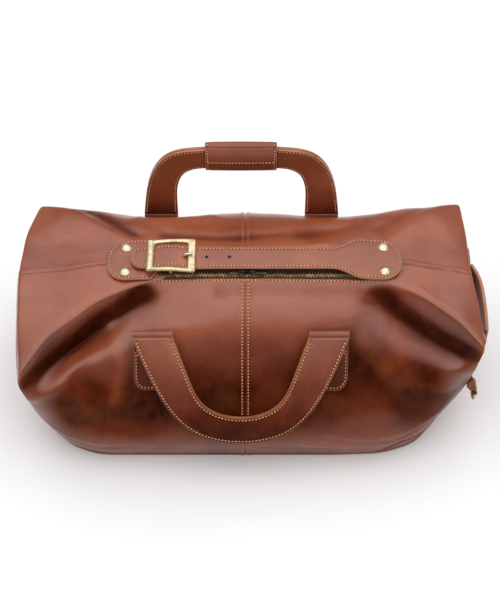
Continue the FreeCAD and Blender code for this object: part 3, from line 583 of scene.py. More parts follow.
def leather(name, dark, mid, light, painted_sheen, worn, rough=(0.30, 0.46), coat=0.25):
    """Smooth waxed leather: clouded colour, fine grain, lighter rubbed ridges and painted shade in the
    creases.

    The point field relief says where the leather stands out and is rubbed, or lies low in a crease; tone
    carries painted light and shade that make it lighter or darker.
    """
    paint = Paint(name)
    # Tone brings in painted light and shade; the ramp runs from a deep stop for the darkest painted shade to
    # a painted sheen at its top.
    tone_with_painted_shading = paint.maths("MULTIPLY", paint.attribute("tone"), 0.22)
    clouds = paint.maths("ADD", paint.noise(11, 4, 0.6, 0.4), tone_with_painted_shading)
    deep = shaded(dark, 0.28)
    colour = paint.ramp(clouds, ((0.02, deep), (0.28, dark), (0.50, mid), (0.74, light), (1.0, painted_sheen)))
    streaks = paint.spread(paint.noise(38, 5, 0.65, 0.8), 0.35, 0.75, 0.0, 0.26)
    colour = paint.mix(streaks, colour, light)
    specks = paint.spread(paint.noise(260, 6, 0.75), 0.50, 0.72, 0.0, 0.30)
    colour = paint.mix(specks, colour, dark)
    relief = paint.attribute("relief")
    rubbed = paint.spread(relief, 0.1, 2.0, 0.0, 0.65)
    rubbed = paint.maths("MULTIPLY", rubbed, paint.spread(paint.noise(60, 4, 0.6), 0.25, 0.65, 0.45, 1.0))
    colour = paint.mix(rubbed, colour, worn)
    # Painted shade in creases and hollows, a little in stitch grooves and on hidden inner faces.
    painted_crease_shade = paint.spread(relief, -2.6, -0.2, 0.85, 0.0)
    colour = paint.mix(painted_crease_shade, colour, shaded(dark, 0.3))
    pores = paint.spread(paint.cells(1500), 0.0, 0.22)
    colour = paint.mix(paint.spread(pores, 0.0, 1.0, 0.16, 0.0), colour, shaded(dark, 0.4))
    paint.surface(colour, (24, 5, 0.6), rough)
    # The shine is turned down with the painted shade of tone and in hollows.
    polish = paint.maths("MULTIPLY", paint.spread(paint.attribute("tone"), -1.4, 0.5, 0.06, 1.0),
                         paint.spread(relief, -2.4, 0.0, 0.15, 1.0))
    paint.join(paint.maths("MULTIPLY", polish, 0.62), paint.shader.inputs["Specular IOR Level"])
    paint.join(paint.maths("MULTIPLY", polish, coat), paint.shader.inputs["Coat Weight"])
    paint.set(Coat_Roughness=0.26)
    creases = paint.noise(210, 4, 0.6, 1.2)
    grain = paint.noise(1300, 3, 0.6)
    paint.bump(((paint.noise(55, 3, 0.5), 0.22, 0.0012), (creases, 0.22, 0.0004), (pores, 0.18, 0.00012),
                (grain, 0.28, 0.00012)))
    return paint.material


def thread(name, colour, shade):
    """Waxed thread with a twist."""
    paint = Paint(name)
    tone = paint.ramp(paint.noise(420, 3), ((0.35, shade), (0.62, colour)))
    paint.surface(tone, (160, 2), (0.5, 0.75))
    paint.bump(((paint.noise(2600, 2, 0.5, 0.6), 0.5, 0.0002),))
    return paint.material


def brass(name, bright, dull, tarnish, rough=(0.22, 0.42)):
    """Antique plated metal with tarnish in patches and fine handling marks."""
    paint = Paint(name)
    patches = paint.noise(140, 5, 0.62, 0.5)
    colour = paint.ramp(patches, ((0.30, tarnish), (0.46, dull), (0.62, bright)))
    rubbed = paint.spread(paint.attribute("relief"), 0.1, 1.0, 0.0, 0.6)
    paint.surface(paint.mix(rubbed, colour, bright), (300, 4, 0.65), rough)
    paint.set(Metallic=1.0)
    scratches = paint.noise(900, 3, 0.6, 0.2, (1.0, 0.12, 1.0))
    paint.bump(((patches, 0.10, 0.0001), (scratches, 0.12, 0.00004)))
    return paint.material


def cloth(name, colour, shade, threads=900.0, rough=(0.75, 0.92)):
    """A plain weave of two sets of crossing threads."""
    paint = Paint(name)
    waves = []
    for direction in ("X", "Y"):
        node = paint.add("ShaderNodeTexWave", wave_type="BANDS", bands_direction=direction)
        node.inputs["Scale"].default_value = threads / 6.3
        node.inputs["Distortion"].default_value = 0.6
        node.inputs["Detail"].default_value = 2.0
        paint.join(paint.place, node.inputs["Vector"])
        waves.append(node.outputs["Fac"])
    weave = paint.maths("MAXIMUM", waves[0], waves[1])
    tone = paint.mix(weave, shade, colour)
    faded = paint.mix(paint.spread(paint.noise(20, 4), 0.3, 0.7, 0.0, 0.35), tone, shade)
    paint.surface(faded, (70, 3), rough)
    paint.set(Sheen_Weight=0.25)
    paint.bump(((weave, 0.5, 0.0003), (paint.noise(500, 3), 0.2, 0.0002)))
    return paint.material


def plain_dark(name, colour):
    """Painted shade for the inside of a needle hole or a punched hole."""
    paint = Paint(name)
    tone = paint.ramp(paint.noise(600, 2), ((0.3, shaded(colour, 0.6)), (0.7, colour)))
    paint.surface(tone, (300, 2), (0.7, 0.9))
    paint.bump(((paint.noise(1500, 2), 0.3, 0.0001),))
    return paint.material


# The fourth colour of each leather is the painted sheen at the top of its ramp.
BODY = leather("body_leather_waxed", (0.095, 0.0135, 0.0042), (0.190, 0.033, 0.0100), (0.310, 0.066, 0.0190),
               (0.330, 0.076, 0.0240), (0.46, 0.130, 0.042), (0.32, 0.46), 0.40)
STRAP = leather("strap_leather_waxed", (0.110, 0.017, 0.0058), (0.205, 0.040, 0.0130), (0.290, 0.068, 0.0220),
                (0.480, 0.145, 0.0620), (0.64, 0.260, 0.115), (0.30, 0.46), 0.35)
THREAD = thread("stitching_thread", (0.82, 0.44, 0.20), (0.54, 0.22, 0.08))
HOLE_SHADE = plain_dark("needle_hole_painted_shade", (0.020, 0.006, 0.003))
BRASS = brass("antique_brass_fittings", (0.74, 0.63, 0.42), (0.60, 0.49, 0.30), (0.36, 0.27, 0.14),
              (0.34, 0.50))
ZIP_METAL = brass("antique_brass_zip", (0.62, 0.46, 0.25), (0.36, 0.25, 0.12), (0.12, 0.08, 0.04), (0.3, 0.5))
DARK_METAL = brass("dark_slider_metal", (0.14, 0.11, 0.085), (0.08, 0.06, 0.045), (0.03, 0.024, 0.018))
TAPE = cloth("zip_tape_cloth", (0.060, 0.026, 0.014), (0.020, 0.009, 0.005), 1600)
LINING = cloth("lining_twill", (0.34, 0.25, 0.16), (0.16, 0.11, 0.07))
BOARD = cloth("base_board_fibre", (0.22, 0.17, 0.12), (0.12, 0.09, 0.06), 300)


# ---------------------------------------------------------------- stitches
def grain_shape():
    """A rice-grain shape along X, one unit half length, with ends that dip."""
    stations = np.array([-0.97, -0.80, -0.42, 0.0, 0.42, 0.80, 0.97])
    girth = np.array([0.30, 0.72, 0.97, 1.0, 0.97, 0.72, 0.30])
    angles = np.linspace(0, 2 * math.pi, 7)[:-1]
    rings = np.stack([np.repeat(stations[:, None], 6, 1), girth[:, None] * np.cos(angles),
                      girth[:, None] * np.sin(angles) - 0.75 * (stations ** 2)[:, None]], axis=-1)
    index = np.arange(42).reshape(7, 6)
    index = wrapped(index)
    faces = grid_faces(index).tolist() + [index[0, :-1][::-1].tolist(), index[-1, :-1].tolist()]
    return rings.reshape(-1, 3), faces


GRAIN_VERTS, GRAIN_FACES = grain_shape()
HOLE_VERTS, HOLE_FACES = lathe(((0, 0.35), (0.6, 0.25), (0.95, 0.0), (0.95, -0.5)), (0, 0, 0), 8)


def copies(template, faces, centres, axes, scales):
    """Many copies of one shape, each with its own centre and axes."""
    moved = np.einsum("kc,ncd->nkd", np.asarray(template) * np.asarray(scales), axes) + centres[:, None]
    count = len(template)
    all_faces = []
    for i in range(len(centres)):
        all_faces += [[v + i * count for v in face] for face in faces]
    return moved.reshape(-1, 3), all_faces


def stitch_rows(name, rows, body="root", slot="body_leather", slant=9.0):
    """Threads, turned by a slant in degrees, and dark caps of painted shade at the needle holes along rows of
    (points, outward normals).
    """
    threads, holes = [], []
    for points, normals in rows:
        count = max(2, int(round(path_length(points) / STITCH_PITCH)) + 1)
        both = evenly(np.concatenate([points, normals * 1e-3], axis=1), count)
        path, outward = both[:, :3], unit(both[:, 3:])
        ahead = unit(np.diff(path, axis=0))
        middle = (path[:-1] + path[1:]) / 2
        up = unit(outward[:-1] + outward[1:])
        side = unit(np.cross(up, ahead))
        turn = math.radians(slant)
        along = unit(ahead * math.cos(turn) + side * math.sin(turn))
        across = np.cross(up, along)
        axes = np.stack([along, across, up], axis=1)
        threads.append(copies(GRAIN_VERTS, GRAIN_FACES, middle + up * STITCH_LIFT, axes,
                              (STITCH_LENGTH / 2, STITCH_R, STITCH_R)))
        side = unit(np.cross(outward, np.gradient(path, axis=0)))
        axes = np.stack([side, unit(np.cross(outward, side)), outward], axis=1)
        holes.append(copies(HOLE_VERTS, HOLE_FACES, path, axes, HOLE_SIZE))
    verts, faces = joined(threads)
    make_piece(name, verts, faces, THREAD, body, slot)
    verts, faces = joined(holes)
    make_piece(name + "_holes", verts, faces, HOLE_SHADE, body, slot)


# ---------------------------------------------------------------- the bag's skin
ROWS = len(FRONT_LINES) + len(TOP_LINES) + len(BACK_LINES)
# The ridge above the front panel, as a share of the way round, and the one above the back panel.
FRONT_EDGE = (2 * len(FRONT_LINES) - 3) / (2 * ROWS - 4)
BACK_EDGE = 1 - FRONT_EDGE
SLOT_START, SLOT_END = 7 / 18, 11 / 18      # where the zip opening starts and ends along the bag


def param_steps(count, extra):
    """Even steps from 0 to 1 with a few more close together where detail is needed."""
    values = set(np.round(np.linspace(0, 1, count), 6))
    for centre, offsets in extra:
        for offset in offsets:
            for side in (-1, 1):
                values.add(round(centre + side * offset, 6))
    return np.array(sorted(v for v in values if 0 <= v <= 1))


class Skin:
    """The whole leather skin as one welded surface, before it is cut into panels."""

    def __init__(self):
        # ten steps to each span along the bag and nine to each span round it, with more at the seams
        self.u = param_steps(18 * 10 + 1, ((0.5, (0, 0.0006, 0.0013, 0.0022, 0.0036, 0.0052, 0.0070)),))
        self.v = param_steps(26 * 9 + 1, ((0.5, (0, 0.0005, 0.0011, 0.0019, 0.0030)),
                                          (FRONT_EDGE, (0, 0.0007, 0.0016, 0.0030)),
                                          (BACK_EDGE, (0, 0.0007, 0.0016, 0.0030))))
        self.loft()
        self.ends()
        self.round_corners()
        self.sag()
        self.measure()

    def loft(self):
        """The long surface from the front's foot over the top to the back's foot."""
        net = np.array(FRONT_LINES + TOP_LINES + BACK_LINES, float)
        net = with_midpoints(net)
        net = with_midpoints(net.transpose(1, 0, 2)).transpose(1, 0, 2)
        rows = cubic_weights(net.shape[0], self.v)
        columns = cubic_weights(net.shape[1], self.u)
        points = np.einsum("ij,jkc,lk->ilc", rows, net, columns)
        self.main = np.arange(points.shape[0] * points.shape[1]).reshape(points.shape[:2])
        self.points = points.reshape(-1, 3)
        self.low, self.high = nearest(self.v, FRONT_EDGE), nearest(self.v, BACK_EDGE)
        self.middle, self.centre = nearest(self.v, 0.5), nearest(self.u, 0.5)
        self.slot = nearest(self.u, SLOT_START), nearest(self.u, SLOT_END)

    def ends(self):
        """An upright wall at each end, between the corner lines and the crease."""
        self.walls = {}
        for side, column, foot in (("left", 0, LEFT_FOOT), ("right", -1, RIGHT_FOOT)):
            edge = self.main[:, column]
            front, top, back = edge[:self.low + 1], edge[self.low:self.high + 1], edge[self.high:][::-1]
            assert len(front) == len(back)
            index = np.full((len(front), len(top)), -1)
            index[:, 0], index[:, -1], index[-1, :] = front, back, top
            p = self.points
            rise = arc_lengths(p[front])
            s = (rise / rise[-1])[:, None, None]
            walk = arc_lengths(p[top])
            t = (walk / walk[-1])[None, :, None]
            bottom = hugging_curve(foot, t[0, :, 0])
            corners = ((1 - s) * (1 - t) * p[front[0]] + (1 - s) * t * p[back[0]]
                       + s * (1 - t) * p[top[0]] + s * t * p[top[-1]])
            wall = ((1 - t) * p[front][:, None] + t * p[back][:, None]
                    + (1 - s) * bottom[None] + s * p[top][None] - corners)
            outward = -1 if side == "left" else 1
            wall[..., 0] += outward * END_BULGE * (16 * s * (1 - s) * t * (1 - t))[..., 0]
            fresh = np.argwhere(index < 0)
            index[fresh[:, 0], fresh[:, 1]] = len(p) + np.arange(len(fresh))
            self.points = np.concatenate([p, wall[fresh[:, 0], fresh[:, 1]]])
            self.walls[side] = index
        self.faces = np.concatenate([grid_faces(self.main), grid_faces(self.walls["left"], True),
                                     grid_faces(self.walls["right"])])
        edges = np.concatenate([self.faces[:, [0, 1]], self.faces[:, [1, 2]],
                                self.faces[:, [2, 3]], self.faces[:, [3, 0]]])
        self.edges = np.concatenate([edges, edges[:, ::-1]])
        self.count = np.bincount(self.edges[:, 0], minlength=len(self.points))
        self.feet = np.concatenate([self.main[0], self.main[-1],
                                    self.walls["left"][0], self.walls["right"][0]])

    def neighbours_mean(self, values):
        """For each point, the mean over the points it shares an edge with."""
        out = np.empty_like(values)
        for k in range(values.shape[1]):
            out[:, k] = np.bincount(self.edges[:, 0], values[self.edges[:, 1], k], len(values)) / self.count
        return out

    def relax(self, weight, rounds):
        """Smooth the surface by weight, with the lower edge held."""
        weight = weight.copy()
        weight[self.feet] = 0
        for _ in range(rounds):
            self.points += weight[:, None] * (self.neighbours_mean(self.points) - self.points)

    def normals(self):
        """Outward directions at the points."""
        p, f = self.points, self.faces
        across = np.cross(p[f[:, 2]] - p[f[:, 0]], p[f[:, 3]] - p[f[:, 1]])
        total = np.stack([sum(np.bincount(f[:, c], across[:, k], len(p)) for c in range(4))
                          for k in range(3)], axis=1)
        total = unit(total)
        if total[self.main[20, self.centre]][1] > 0:
            total = -total
        return total

    def round_corners(self):
        """Round the corner lines and creases where the ends meet the long surface."""
        seam = np.concatenate([self.points[self.main[::3, 0]], self.points[self.main[::-3, -1]]])
        near = np.full(len(self.points), 1e9)
        for chunk in np.array_split(seam, 40):
            gap = np.linalg.norm(self.points[:, None] - chunk[None], axis=2).min(axis=1)
            near = np.minimum(near, gap)
        self.relax(0.5 * np.exp(-(near / 11.0) ** 2), 26)
        self.relax(np.full(len(self.points), 0.3), 3)

    def sag(self):
        """Folds, wrinkles, soft unevenness and the pressed-in seams."""
        p, n = self.points, self.normals()
        facing = soft_step(-n[:, 1], 0.05, 0.6), soft_step(n[:, 2], 0.3, 0.9), soft_step(n[:, 1], 0.05, 0.6)
        ends = soft_step(abs(n[:, 0]), 0.5, 0.9)
        lift = fold_height(p[:, [0, 2]], FRONT_FOLDS) * facing[0]
        lift += fold_height(p[:, [0, 1]], TOP_FOLDS) * facing[1]
        lift += fold_height(p[:, [0, 2]], BACK_FOLDS) * facing[2]
        lift += fold_height(p[:, [1, 2]], END_FOLDS) * ends
        lift += sum(height * rough_field(p, size, seed) for height, size, seed in UNEVENNESS)
        lift *= soft_step(p[:, 2], 4, 16)
        self.points = p + n * lift[:, None]
        self.press_seams(n)

    def press_seams(self, n):
        """Press in the centre seams, the gussets' middle seams and the edges of the zip opening."""
        p = self.points
        seam_x = p[self.main[:, self.centre], 0].mean()
        away = abs(p[:, 0] - seam_x)
        upright = (abs(n[:, 0]) < 0.5) & ((p[:, 1] < -15) | (p[:, 1] > 0))
        lift = np.where(upright, seam_profile(away, 0.9, 0.7, SEAM_ROW, 2.6), 0.0)
        seam_y = p[self.main[self.middle, 12], 1]
        away = abs(p[:, 1] - seam_y)
        gusset = abs(p[:, 0]) > 108
        lift = lift + np.where(gusset & (n[:, 1] ** 2 < 0.3), seam_profile(away, 0.8, 0.45, 3.0, 2.2), 0.0)
        for row, sign in ((self.low, -1), (self.high, 1)):
            mouth = p[self.main[row, self.slot[0]:self.slot[1] + 1]]
            gap = distance_to(p, evenly(mouth, 60))
            inside = sign * (p[:, 1] - np.interp(p[:, 0], mouth[:, 0], mouth[:, 1])) > -0.6
            lift = lift - np.where(inside & (gap < 2.6), 1.5 * (1 - gap / 2.6) ** 2, 0.0)
        self.points = p + n * lift[:, None]

    def measure(self):
        """Final normals, how far each place stands above or below its surroundings, and the painted light and
        shade in tone.
        """
        self.normal = self.normals()
        smooth = self.points.copy()
        for _ in range(60):
            smooth += 0.5 * (self.neighbours_mean(smooth) - smooth)
        self.relief = ((self.points - smooth) * self.normal).sum(axis=1)
        p, n = self.points, self.normal
        # tone holds painted shade on the front and under the folds, painted shade behind the rear ridges, and
        # painted light on faces that look up.
        front = soft_step(-n[:, 1], 0.0, 0.4)
        self.tone = front * fold_height(p[:, [0, 2]], FRONT_PAINTED_LIGHT_AND_SHADE)
        overhung = soft_step(-n[:, 2], -0.88, -0.40)
        self.tone += front * overhung * fold_height(p[:, [0, 2]], VALLEY_PAINTED_SHADE)
        self.relief = np.where(self.relief > 0, 0.45 * self.relief, self.relief)
        self.tone += soft_step(n[:, 2], 0.1, 0.7) * (p[:, 1] > 0) * fold_height(p[:, [0, 1]], TOP_PAINTED_SHADE)
        self.tone += soft_step(n[:, 2], 0.4, 0.9) * np.where(abs(p[:, 0]) > 150, WING_PAINTED_TOP_LIGHT, BACK_PAINTED_TOP_LIGHT)
        self.tree = BVHTree.FromPolygons([Vector(p) for p in self.points], self.faces.tolist())

    def hit(self, origin, direction):
        """The first place on the skin along a ray, with its outward normal."""
        place, normal, _, _ = self.tree.ray_cast(Vector(origin), Vector(direction))
        if place is None:
            return None, None
        if normal.dot(Vector(direction)) > 0:
            normal = -normal
        return np.array(place), np.array(normal)

    def row(self, points, direction):
        """Hits for a list of origins, leaving out misses."""
        hits = [self.hit(p, direction) for p in points]
        hits = [(place, normal) for place, normal in hits if place is not None]
        return np.array([h[0] for h in hits]), np.array([h[1] for h in hits])

    def piece(self, name, faces, nodes, lining=False):
        """Cut out some faces as a panel, or as the lining behind it, with real thickness."""
        used, compact = np.unique(faces, return_inverse=True)
        compact = compact.reshape(faces.shape)
        normal = self.normal[used]
        outer = self.points[used] - normal * (LINING_DEPTH if lining else 0)
        inner = outer - normal * (LINING_THICK if lining else SKIN_THICK)
        count = len(used)
        edges = np.concatenate([compact[:, [i, (i + 1) % 4]] for i in range(4)])
        keys = np.sort(edges, axis=1)
        _, first, times = np.unique(keys, axis=0, return_index=True, return_counts=True)
        rim_edges = edges[first[times == 1]]
        rim = np.concatenate([rim_edges[:, ::-1], rim_edges + count], axis=1)
        inner_faces = compact[:, ::-1] + count
        all_faces = np.concatenate([compact, inner_faces, rim])
        verts = np.concatenate([outer, inner])
        a, b, c = verts[rim[:, 0]], verts[rim[:, 1]], verts[rim[:, 2]]
        rim_normal = unit(np.cross(b - a, c - a))
        loops = np.concatenate([normal[compact].reshape(-1, 3), -normal[compact[:, ::-1]].reshape(-1, 3),
                                np.repeat(rim_normal, 4, axis=0)])
        if lining:
            return make_piece(name, verts, all_faces, LINING, slot="lining_cloth", replaced=nodes,
                              normals=loops, recalculate=False)
        # The inner faces get relief -1, which gives them a little painted shade.
        relief = np.concatenate([self.relief[used], np.full(count, -1.0)])
        tone = np.concatenate([self.tone[used], np.zeros(count)])
        return make_piece(name, verts, all_faces, BODY, replaced=nodes, relief=relief,
                          normals=loops, recalculate=False, tone=tone)

    def cut_panels(self):
        """Cut the panels, gussets and linings out of the surface."""
        main, c, low, mid, high = self.main, self.centre, self.low, self.middle, self.high
        start, end = self.slot

        def part(rows, columns):
            """Faces of a block of the long surface, from one row and column to another."""
            return grid_faces(main[rows[0]:rows[1] + 1, columns[0]:columns[1] + 1])

        last_row, last_column = main.shape[0] - 1, main.shape[1] - 1
        self.piece("front_left_panel_skin", part((0, low), (0, c)), ["front_panel_left"])
        self.piece("front_right_panel_skin", part((0, low), (c, last_column)), ["front_panel_right"])
        self.piece("back_left_panel_skin", part((high, last_row), (0, c)), ["back_panel_left"])
        self.piece("back_right_panel_skin", part((high, last_row), (c, last_column)), ["back_panel_right"])
        across = (2, last_column - 2)
        self.piece("front_lining_cloth", part((0, low - 4), across), ["lining_front"], True)
        self.piece("back_lining_cloth", part((high + 4, last_row), across), ["lining_back"], True)
        half = mid - low
        for side, columns, flip in (("left", (0, start), True), ("right", (end, last_column), False)):
            wall = self.walls[side]
            front = np.concatenate([part((low, mid), columns), grid_faces(wall[:, :half + 1], flip)])
            back = np.concatenate([part((mid, high), columns), grid_faces(wall[:, half:], flip)])
            self.piece(side + "_front_gusset_skin", front, [side + "_gusset_front"])
            self.piece(side + "_back_gusset_skin", back, [side + "_gusset_back"])
            inner = grid_faces(wall[:, 2:-2], flip)
            self.piece(side + "_lining_cloth", inner, ["lining_%s_end" % side], True)


skin = Skin()
skin.cut_panels()


# ---------------------------------------------------------------- sewn leather shapes
# Distances from an edge at which a sheet has points, so that its rounding and its stitch line show.
EDGE_STEPS = np.array((0.0, 0.08, 0.3, 0.7, 1.2, 1.8, 2.4, 3.0, 3.6, 4.4))


def across_steps(width):
    """Places across a strip, close together near both edges."""
    near = EDGE_STEPS * min(1.0, 0.45 * width / EDGE_STEPS[-1])
    middle = np.linspace(near[-1], width - near[-1], 8)[1:-1]
    return np.concatenate([near, middle, (width - near)[::-1]])


def plan_between(edge_a, edge_b):
    """Points across a flat shape, station by station, from one long edge to the other."""
    rows = []
    for a, b in zip(edge_a, edge_b):
        width = max(np.linalg.norm(b - a), 0.5)
        direction = (b - a) / max(np.linalg.norm(b - a), 1e-9)
        rows.append(a + direction * across_steps(width)[:, None])
    return np.array(rows)


class Sheet:
    """A flat sewn piece of leather: its plan, and how the plan lies in space."""

    def __init__(self, edge_a, edge_b, place, thick, open_ends=False, groove=True, crown=0.35, round_r=1.3):
        """Work out how thick the sheet is at each place.

        open_ends leaves both short ends (True) or only the first ("start") unrounded, and groove
        presses a stitch line into the upper face (True) or both faces ("both").
        """
        self.edge_a, self.edge_b = np.array(edge_a, float), np.array(edge_b, float)
        self.place, self.thick = place, thick
        self.plan = plan_between(self.edge_a, self.edge_b)
        if open_ends == "start":
            gap = distance_to(self.plan.reshape(-1, 2), np.concatenate([self.edge_a, self.edge_b[::-1]]))
        elif open_ends:
            gap = np.minimum(distance_to(self.plan.reshape(-1, 2), self.edge_a),
                             distance_to(self.plan.reshape(-1, 2), self.edge_b))
        else:
            ring = np.concatenate([self.edge_a, self.edge_b[::-1], self.edge_a[:1]])
            gap = distance_to(self.plan.reshape(-1, 2), ring)
        self.gap = gap.reshape(self.plan.shape[:2])
        radius = min(round_r, thick / 2)
        body = thick / 2 - radius + rounded_rise(self.gap, radius)
        body = np.where(self.gap < 0.04, 0.0, body)
        dent = GROOVE_DEPTH * np.exp(-((self.gap - STITCH_INSET) / GROOVE_HALF) ** 2) if groove else 0.0
        self.top = body - dent + crown * soft_step(self.gap, STITCH_INSET, STITCH_INSET + 7)
        self.bottom = -body + (dent if groove == "both" else 0.0)

    def build(self):
        """Vertices, faces and relief of the closed sheet."""
        n, m = self.plan.shape[:2]
        u, v = self.plan[..., 0], self.plan[..., 1]
        top = self.place(u, v, self.top)
        bottom = self.place(u, v, self.bottom)[:, 1:-1]
        ring = np.concatenate([top, bottom[:, ::-1]], axis=1)
        length = ring.shape[1]
        index = np.arange(n * length).reshape(n, length)
        faces = grid_faces(wrapped(index)).tolist()
        for station, flip in ((0, False), (n - 1, True)):
            upper = index[station, :m]
            lower = np.concatenate([index[station, :1], index[station, m:][::-1], index[station, m - 1:m]])
            for k in range(m - 1):
                face = [upper[k], upper[k + 1], lower[k + 1], lower[k]]
                face = [int(i) for i in dict.fromkeys(face)]
                faces.append(face[::-1] if flip else face)
        # Rubbed lighter along the edges; the dip at the stitch line gives painted shade in its groove.
        rubbed = 1.5 * np.exp(-(self.gap / 0.9) ** 2) - 0.5 * np.exp(-((self.gap - STITCH_INSET) / 0.9) ** 2)
        relief = np.concatenate([rubbed, rubbed[:, 1:-1][:, ::-1]], axis=1).reshape(-1)
        return ring.reshape(-1, 3), faces, relief

    def piece(self, name, body="root", slot="strap_leather", replaced=(), tones=(0.7, 0.7)):
        """Make the piece, its colour lighter or darker through the given tones along the plan's second axis;
        on the carry handles these tones are painted light and shade.
        """
        verts, faces, relief = self.build()
        share = np.interp(self.plan[..., 1], (self.plan[..., 1].min(), self.plan[..., 1].max()), (0, 1))
        tone = np.interp(share, np.linspace(0, 1, len(tones)), tones)
        tone = np.concatenate([tone, tone[:, 1:-1][:, ::-1]], axis=1).reshape(-1)
        return make_piece(name, verts, faces, STRAP, body, slot, replaced, relief, tone=tone)

    def row(self, path, side=1):
        """A stitch row along a path drawn on the plan, on the upper or the lower face."""
        path = np.asarray(path, float)
        height = side * (self.thick / 2 - GROOVE_DEPTH * 0.6)
        u, v = path[:, 0], path[:, 1]
        points = self.place(u, v, np.full(len(u), height))
        above = self.place(u, v, np.full(len(u), height + side * 0.5))
        return points, unit(above - points)


def inset_path(edge, amount):
    """A flat path moved sideways to its left by an amount, without loops at its ends."""
    edge = evenly(np.asarray(edge, float), max(8, int(path_length(edge) / 1.5)))
    ahead = unit(np.gradient(edge, axis=0))
    left = np.stack([-ahead[:, 1], ahead[:, 0]], axis=1)
    return edge + left * amount


def inset_ring(ring, amount):
    """A closed outline drawn in by an amount, whichever way round it runs."""
    ring = evenly(np.asarray(ring, float), max(30, int(path_length(ring) / 1.2)))
    area = 0.5 * np.sum(ring[:-1, 0] * ring[1:, 1] - ring[1:, 0] * ring[:-1, 1])
    moved = []
    for k in range(len(ring) - 1):
        ahead = unit(ring[(k + 1) % (len(ring) - 1)] - ring[k - 1 if k else len(ring) - 2])
        left = np.array([-ahead[1], ahead[0]]) * (1 if area > 0 else -1)
        moved.append(ring[k] + left * amount)
    moved = np.array(moved)
    keep = distance_to(moved, ring) > amount * 0.93
    return moved[keep]


def outline_of(sheet):
    """A sheet's closed outline on its plan."""
    return np.concatenate([sheet.edge_a, sheet.edge_b[::-1], sheet.edge_a[:1]])


def round_ended(x0, x1, half, start_r, end_r, y, steps=15):
    """Two edges of a flat strip along X whose ends are rounded by radii, or square for none."""
    def rise(r):
        """Distance from the end and half width round a quarter circle."""
        angle = np.linspace(0, math.pi / 2, steps)
        return r * (1 - np.cos(angle)), half - r + r * np.sin(angle)

    xs, halves = [], []
    if start_r:
        dx, width = rise(start_r)
        xs.append(x0 + dx)
        halves.append(width)
    else:
        xs.append(np.array([x0]))
        halves.append(np.array([half]))
    inner = np.arange(x0 + (start_r or 0), x1 - (end_r or 0), 2.5)[1:]
    xs.append(inner)
    halves.append(np.full(len(inner), half))
    if end_r:
        dx, width = rise(end_r)
        xs.append(x1 - dx[::-1])
        halves.append(width[::-1])
    else:
        xs.append(np.array([x1]))
        halves.append(np.array([half]))
    x, w = np.concatenate(xs), np.concatenate(halves)
    return edge_pair(x, y - w, y + w)


# ---------------------------------------------------------------- strap, tabs and buckle
def height_over_skin(x0, x1, y0, y1):
    """How high the skin's top reaches across a band, as a function of x."""
    xs = np.linspace(x0, x1, 12)
    tops = []
    for x in xs:
        heights = [skin.hit((x, y, 300), (0, 0, -1))[0] for y in np.linspace(y0, y1, 9)]
        tops.append(max([h[2] for h in heights if h is not None], default=203.0))
    return lambda x: np.interp(x, xs, tops)


def make_left_tab():
    """The sewn tab under the buckle, narrowing towards it."""
    low, high = span("left_tab")
    over = height_over_skin(low[0], BUCKLE_X, low[1], high[1])

    def place(u, v, h):
        sag = over(u) + 0.2 + TAB_THICK / 2
        return np.stack([u, v, sag + h], axis=-1)

    end = BUCKLE_X - 15
    edge_a, edge_b = round_ended(low[0], end, TAB_HALF, 23, 0, TAB_Y)
    narrow = 1 - np.sqrt(np.clip(1 - soft_step(edge_a[:, 0], end - 12, end + 0.5) ** 2, 0, 1))
    edge_a[:, 1] += narrow * 13
    edge_b[:, 1] -= narrow * 13
    sheet = Sheet(edge_a, edge_b, place, TAB_THICK)
    sheet.piece("left_tab_leather", replaced=["left_tab"])
    ring = inset_ring(outline_of(sheet), STITCH_INSET)
    ring = ring[ring[:, 0] < BUCKLE_X - 24]
    start = int(np.argmax(ring[:, 0] - 0.01 * ring[:, 1]))
    ring = np.roll(ring, -start, axis=0)
    stitch_rows("left_tab_stitches", [sheet.row(open_at_gap(ring, 6))], slot="strap_leather")


# The strap's underside seen from the front: (along, height).
STRAP_RUN = (
    (-140, STRAP_LOW), (BUCKLE_X - 20, STRAP_LOW), (BUCKLE_X - 8, STRAP_HUMP - 0.4), (BUCKLE_X, STRAP_HUMP),
    (BUCKLE_X + 7, STRAP_HUMP - 0.6), (BUCKLE_X + 19, STRAP_LOW - 0.4), (BUCKLE_X + 44, STRAP_LOW),
    (92, STRAP_LOW + 0.2), (112, STRAP_LOW - 0.8), (128, STRAP_LOW - 3.0),
)
RIGHT_TAB_X = 120                               # the strap lies on the leather from here on
height_over_right = height_over_skin(116, 173, *TAB_BAND)


def strap_height(x):
    """The underside of the closure strap, over the centre bar and under both end bars."""
    on_tab = np.maximum(height_over_right(x) + 0.3, np.interp(x, (RIGHT_TAB_X, 150), (206.8, 203.5)))
    return np.where(x > RIGHT_TAB_X, on_tab, np.interp(x, *zip(*STRAP_RUN)))


def smooth_height(x):
    """The strap's height with its bends eased."""
    shifts = (-6, -4, -2, 0, 2, 4, 6)
    return sum(strap_height(x + shift) for shift in shifts) / len(shifts)


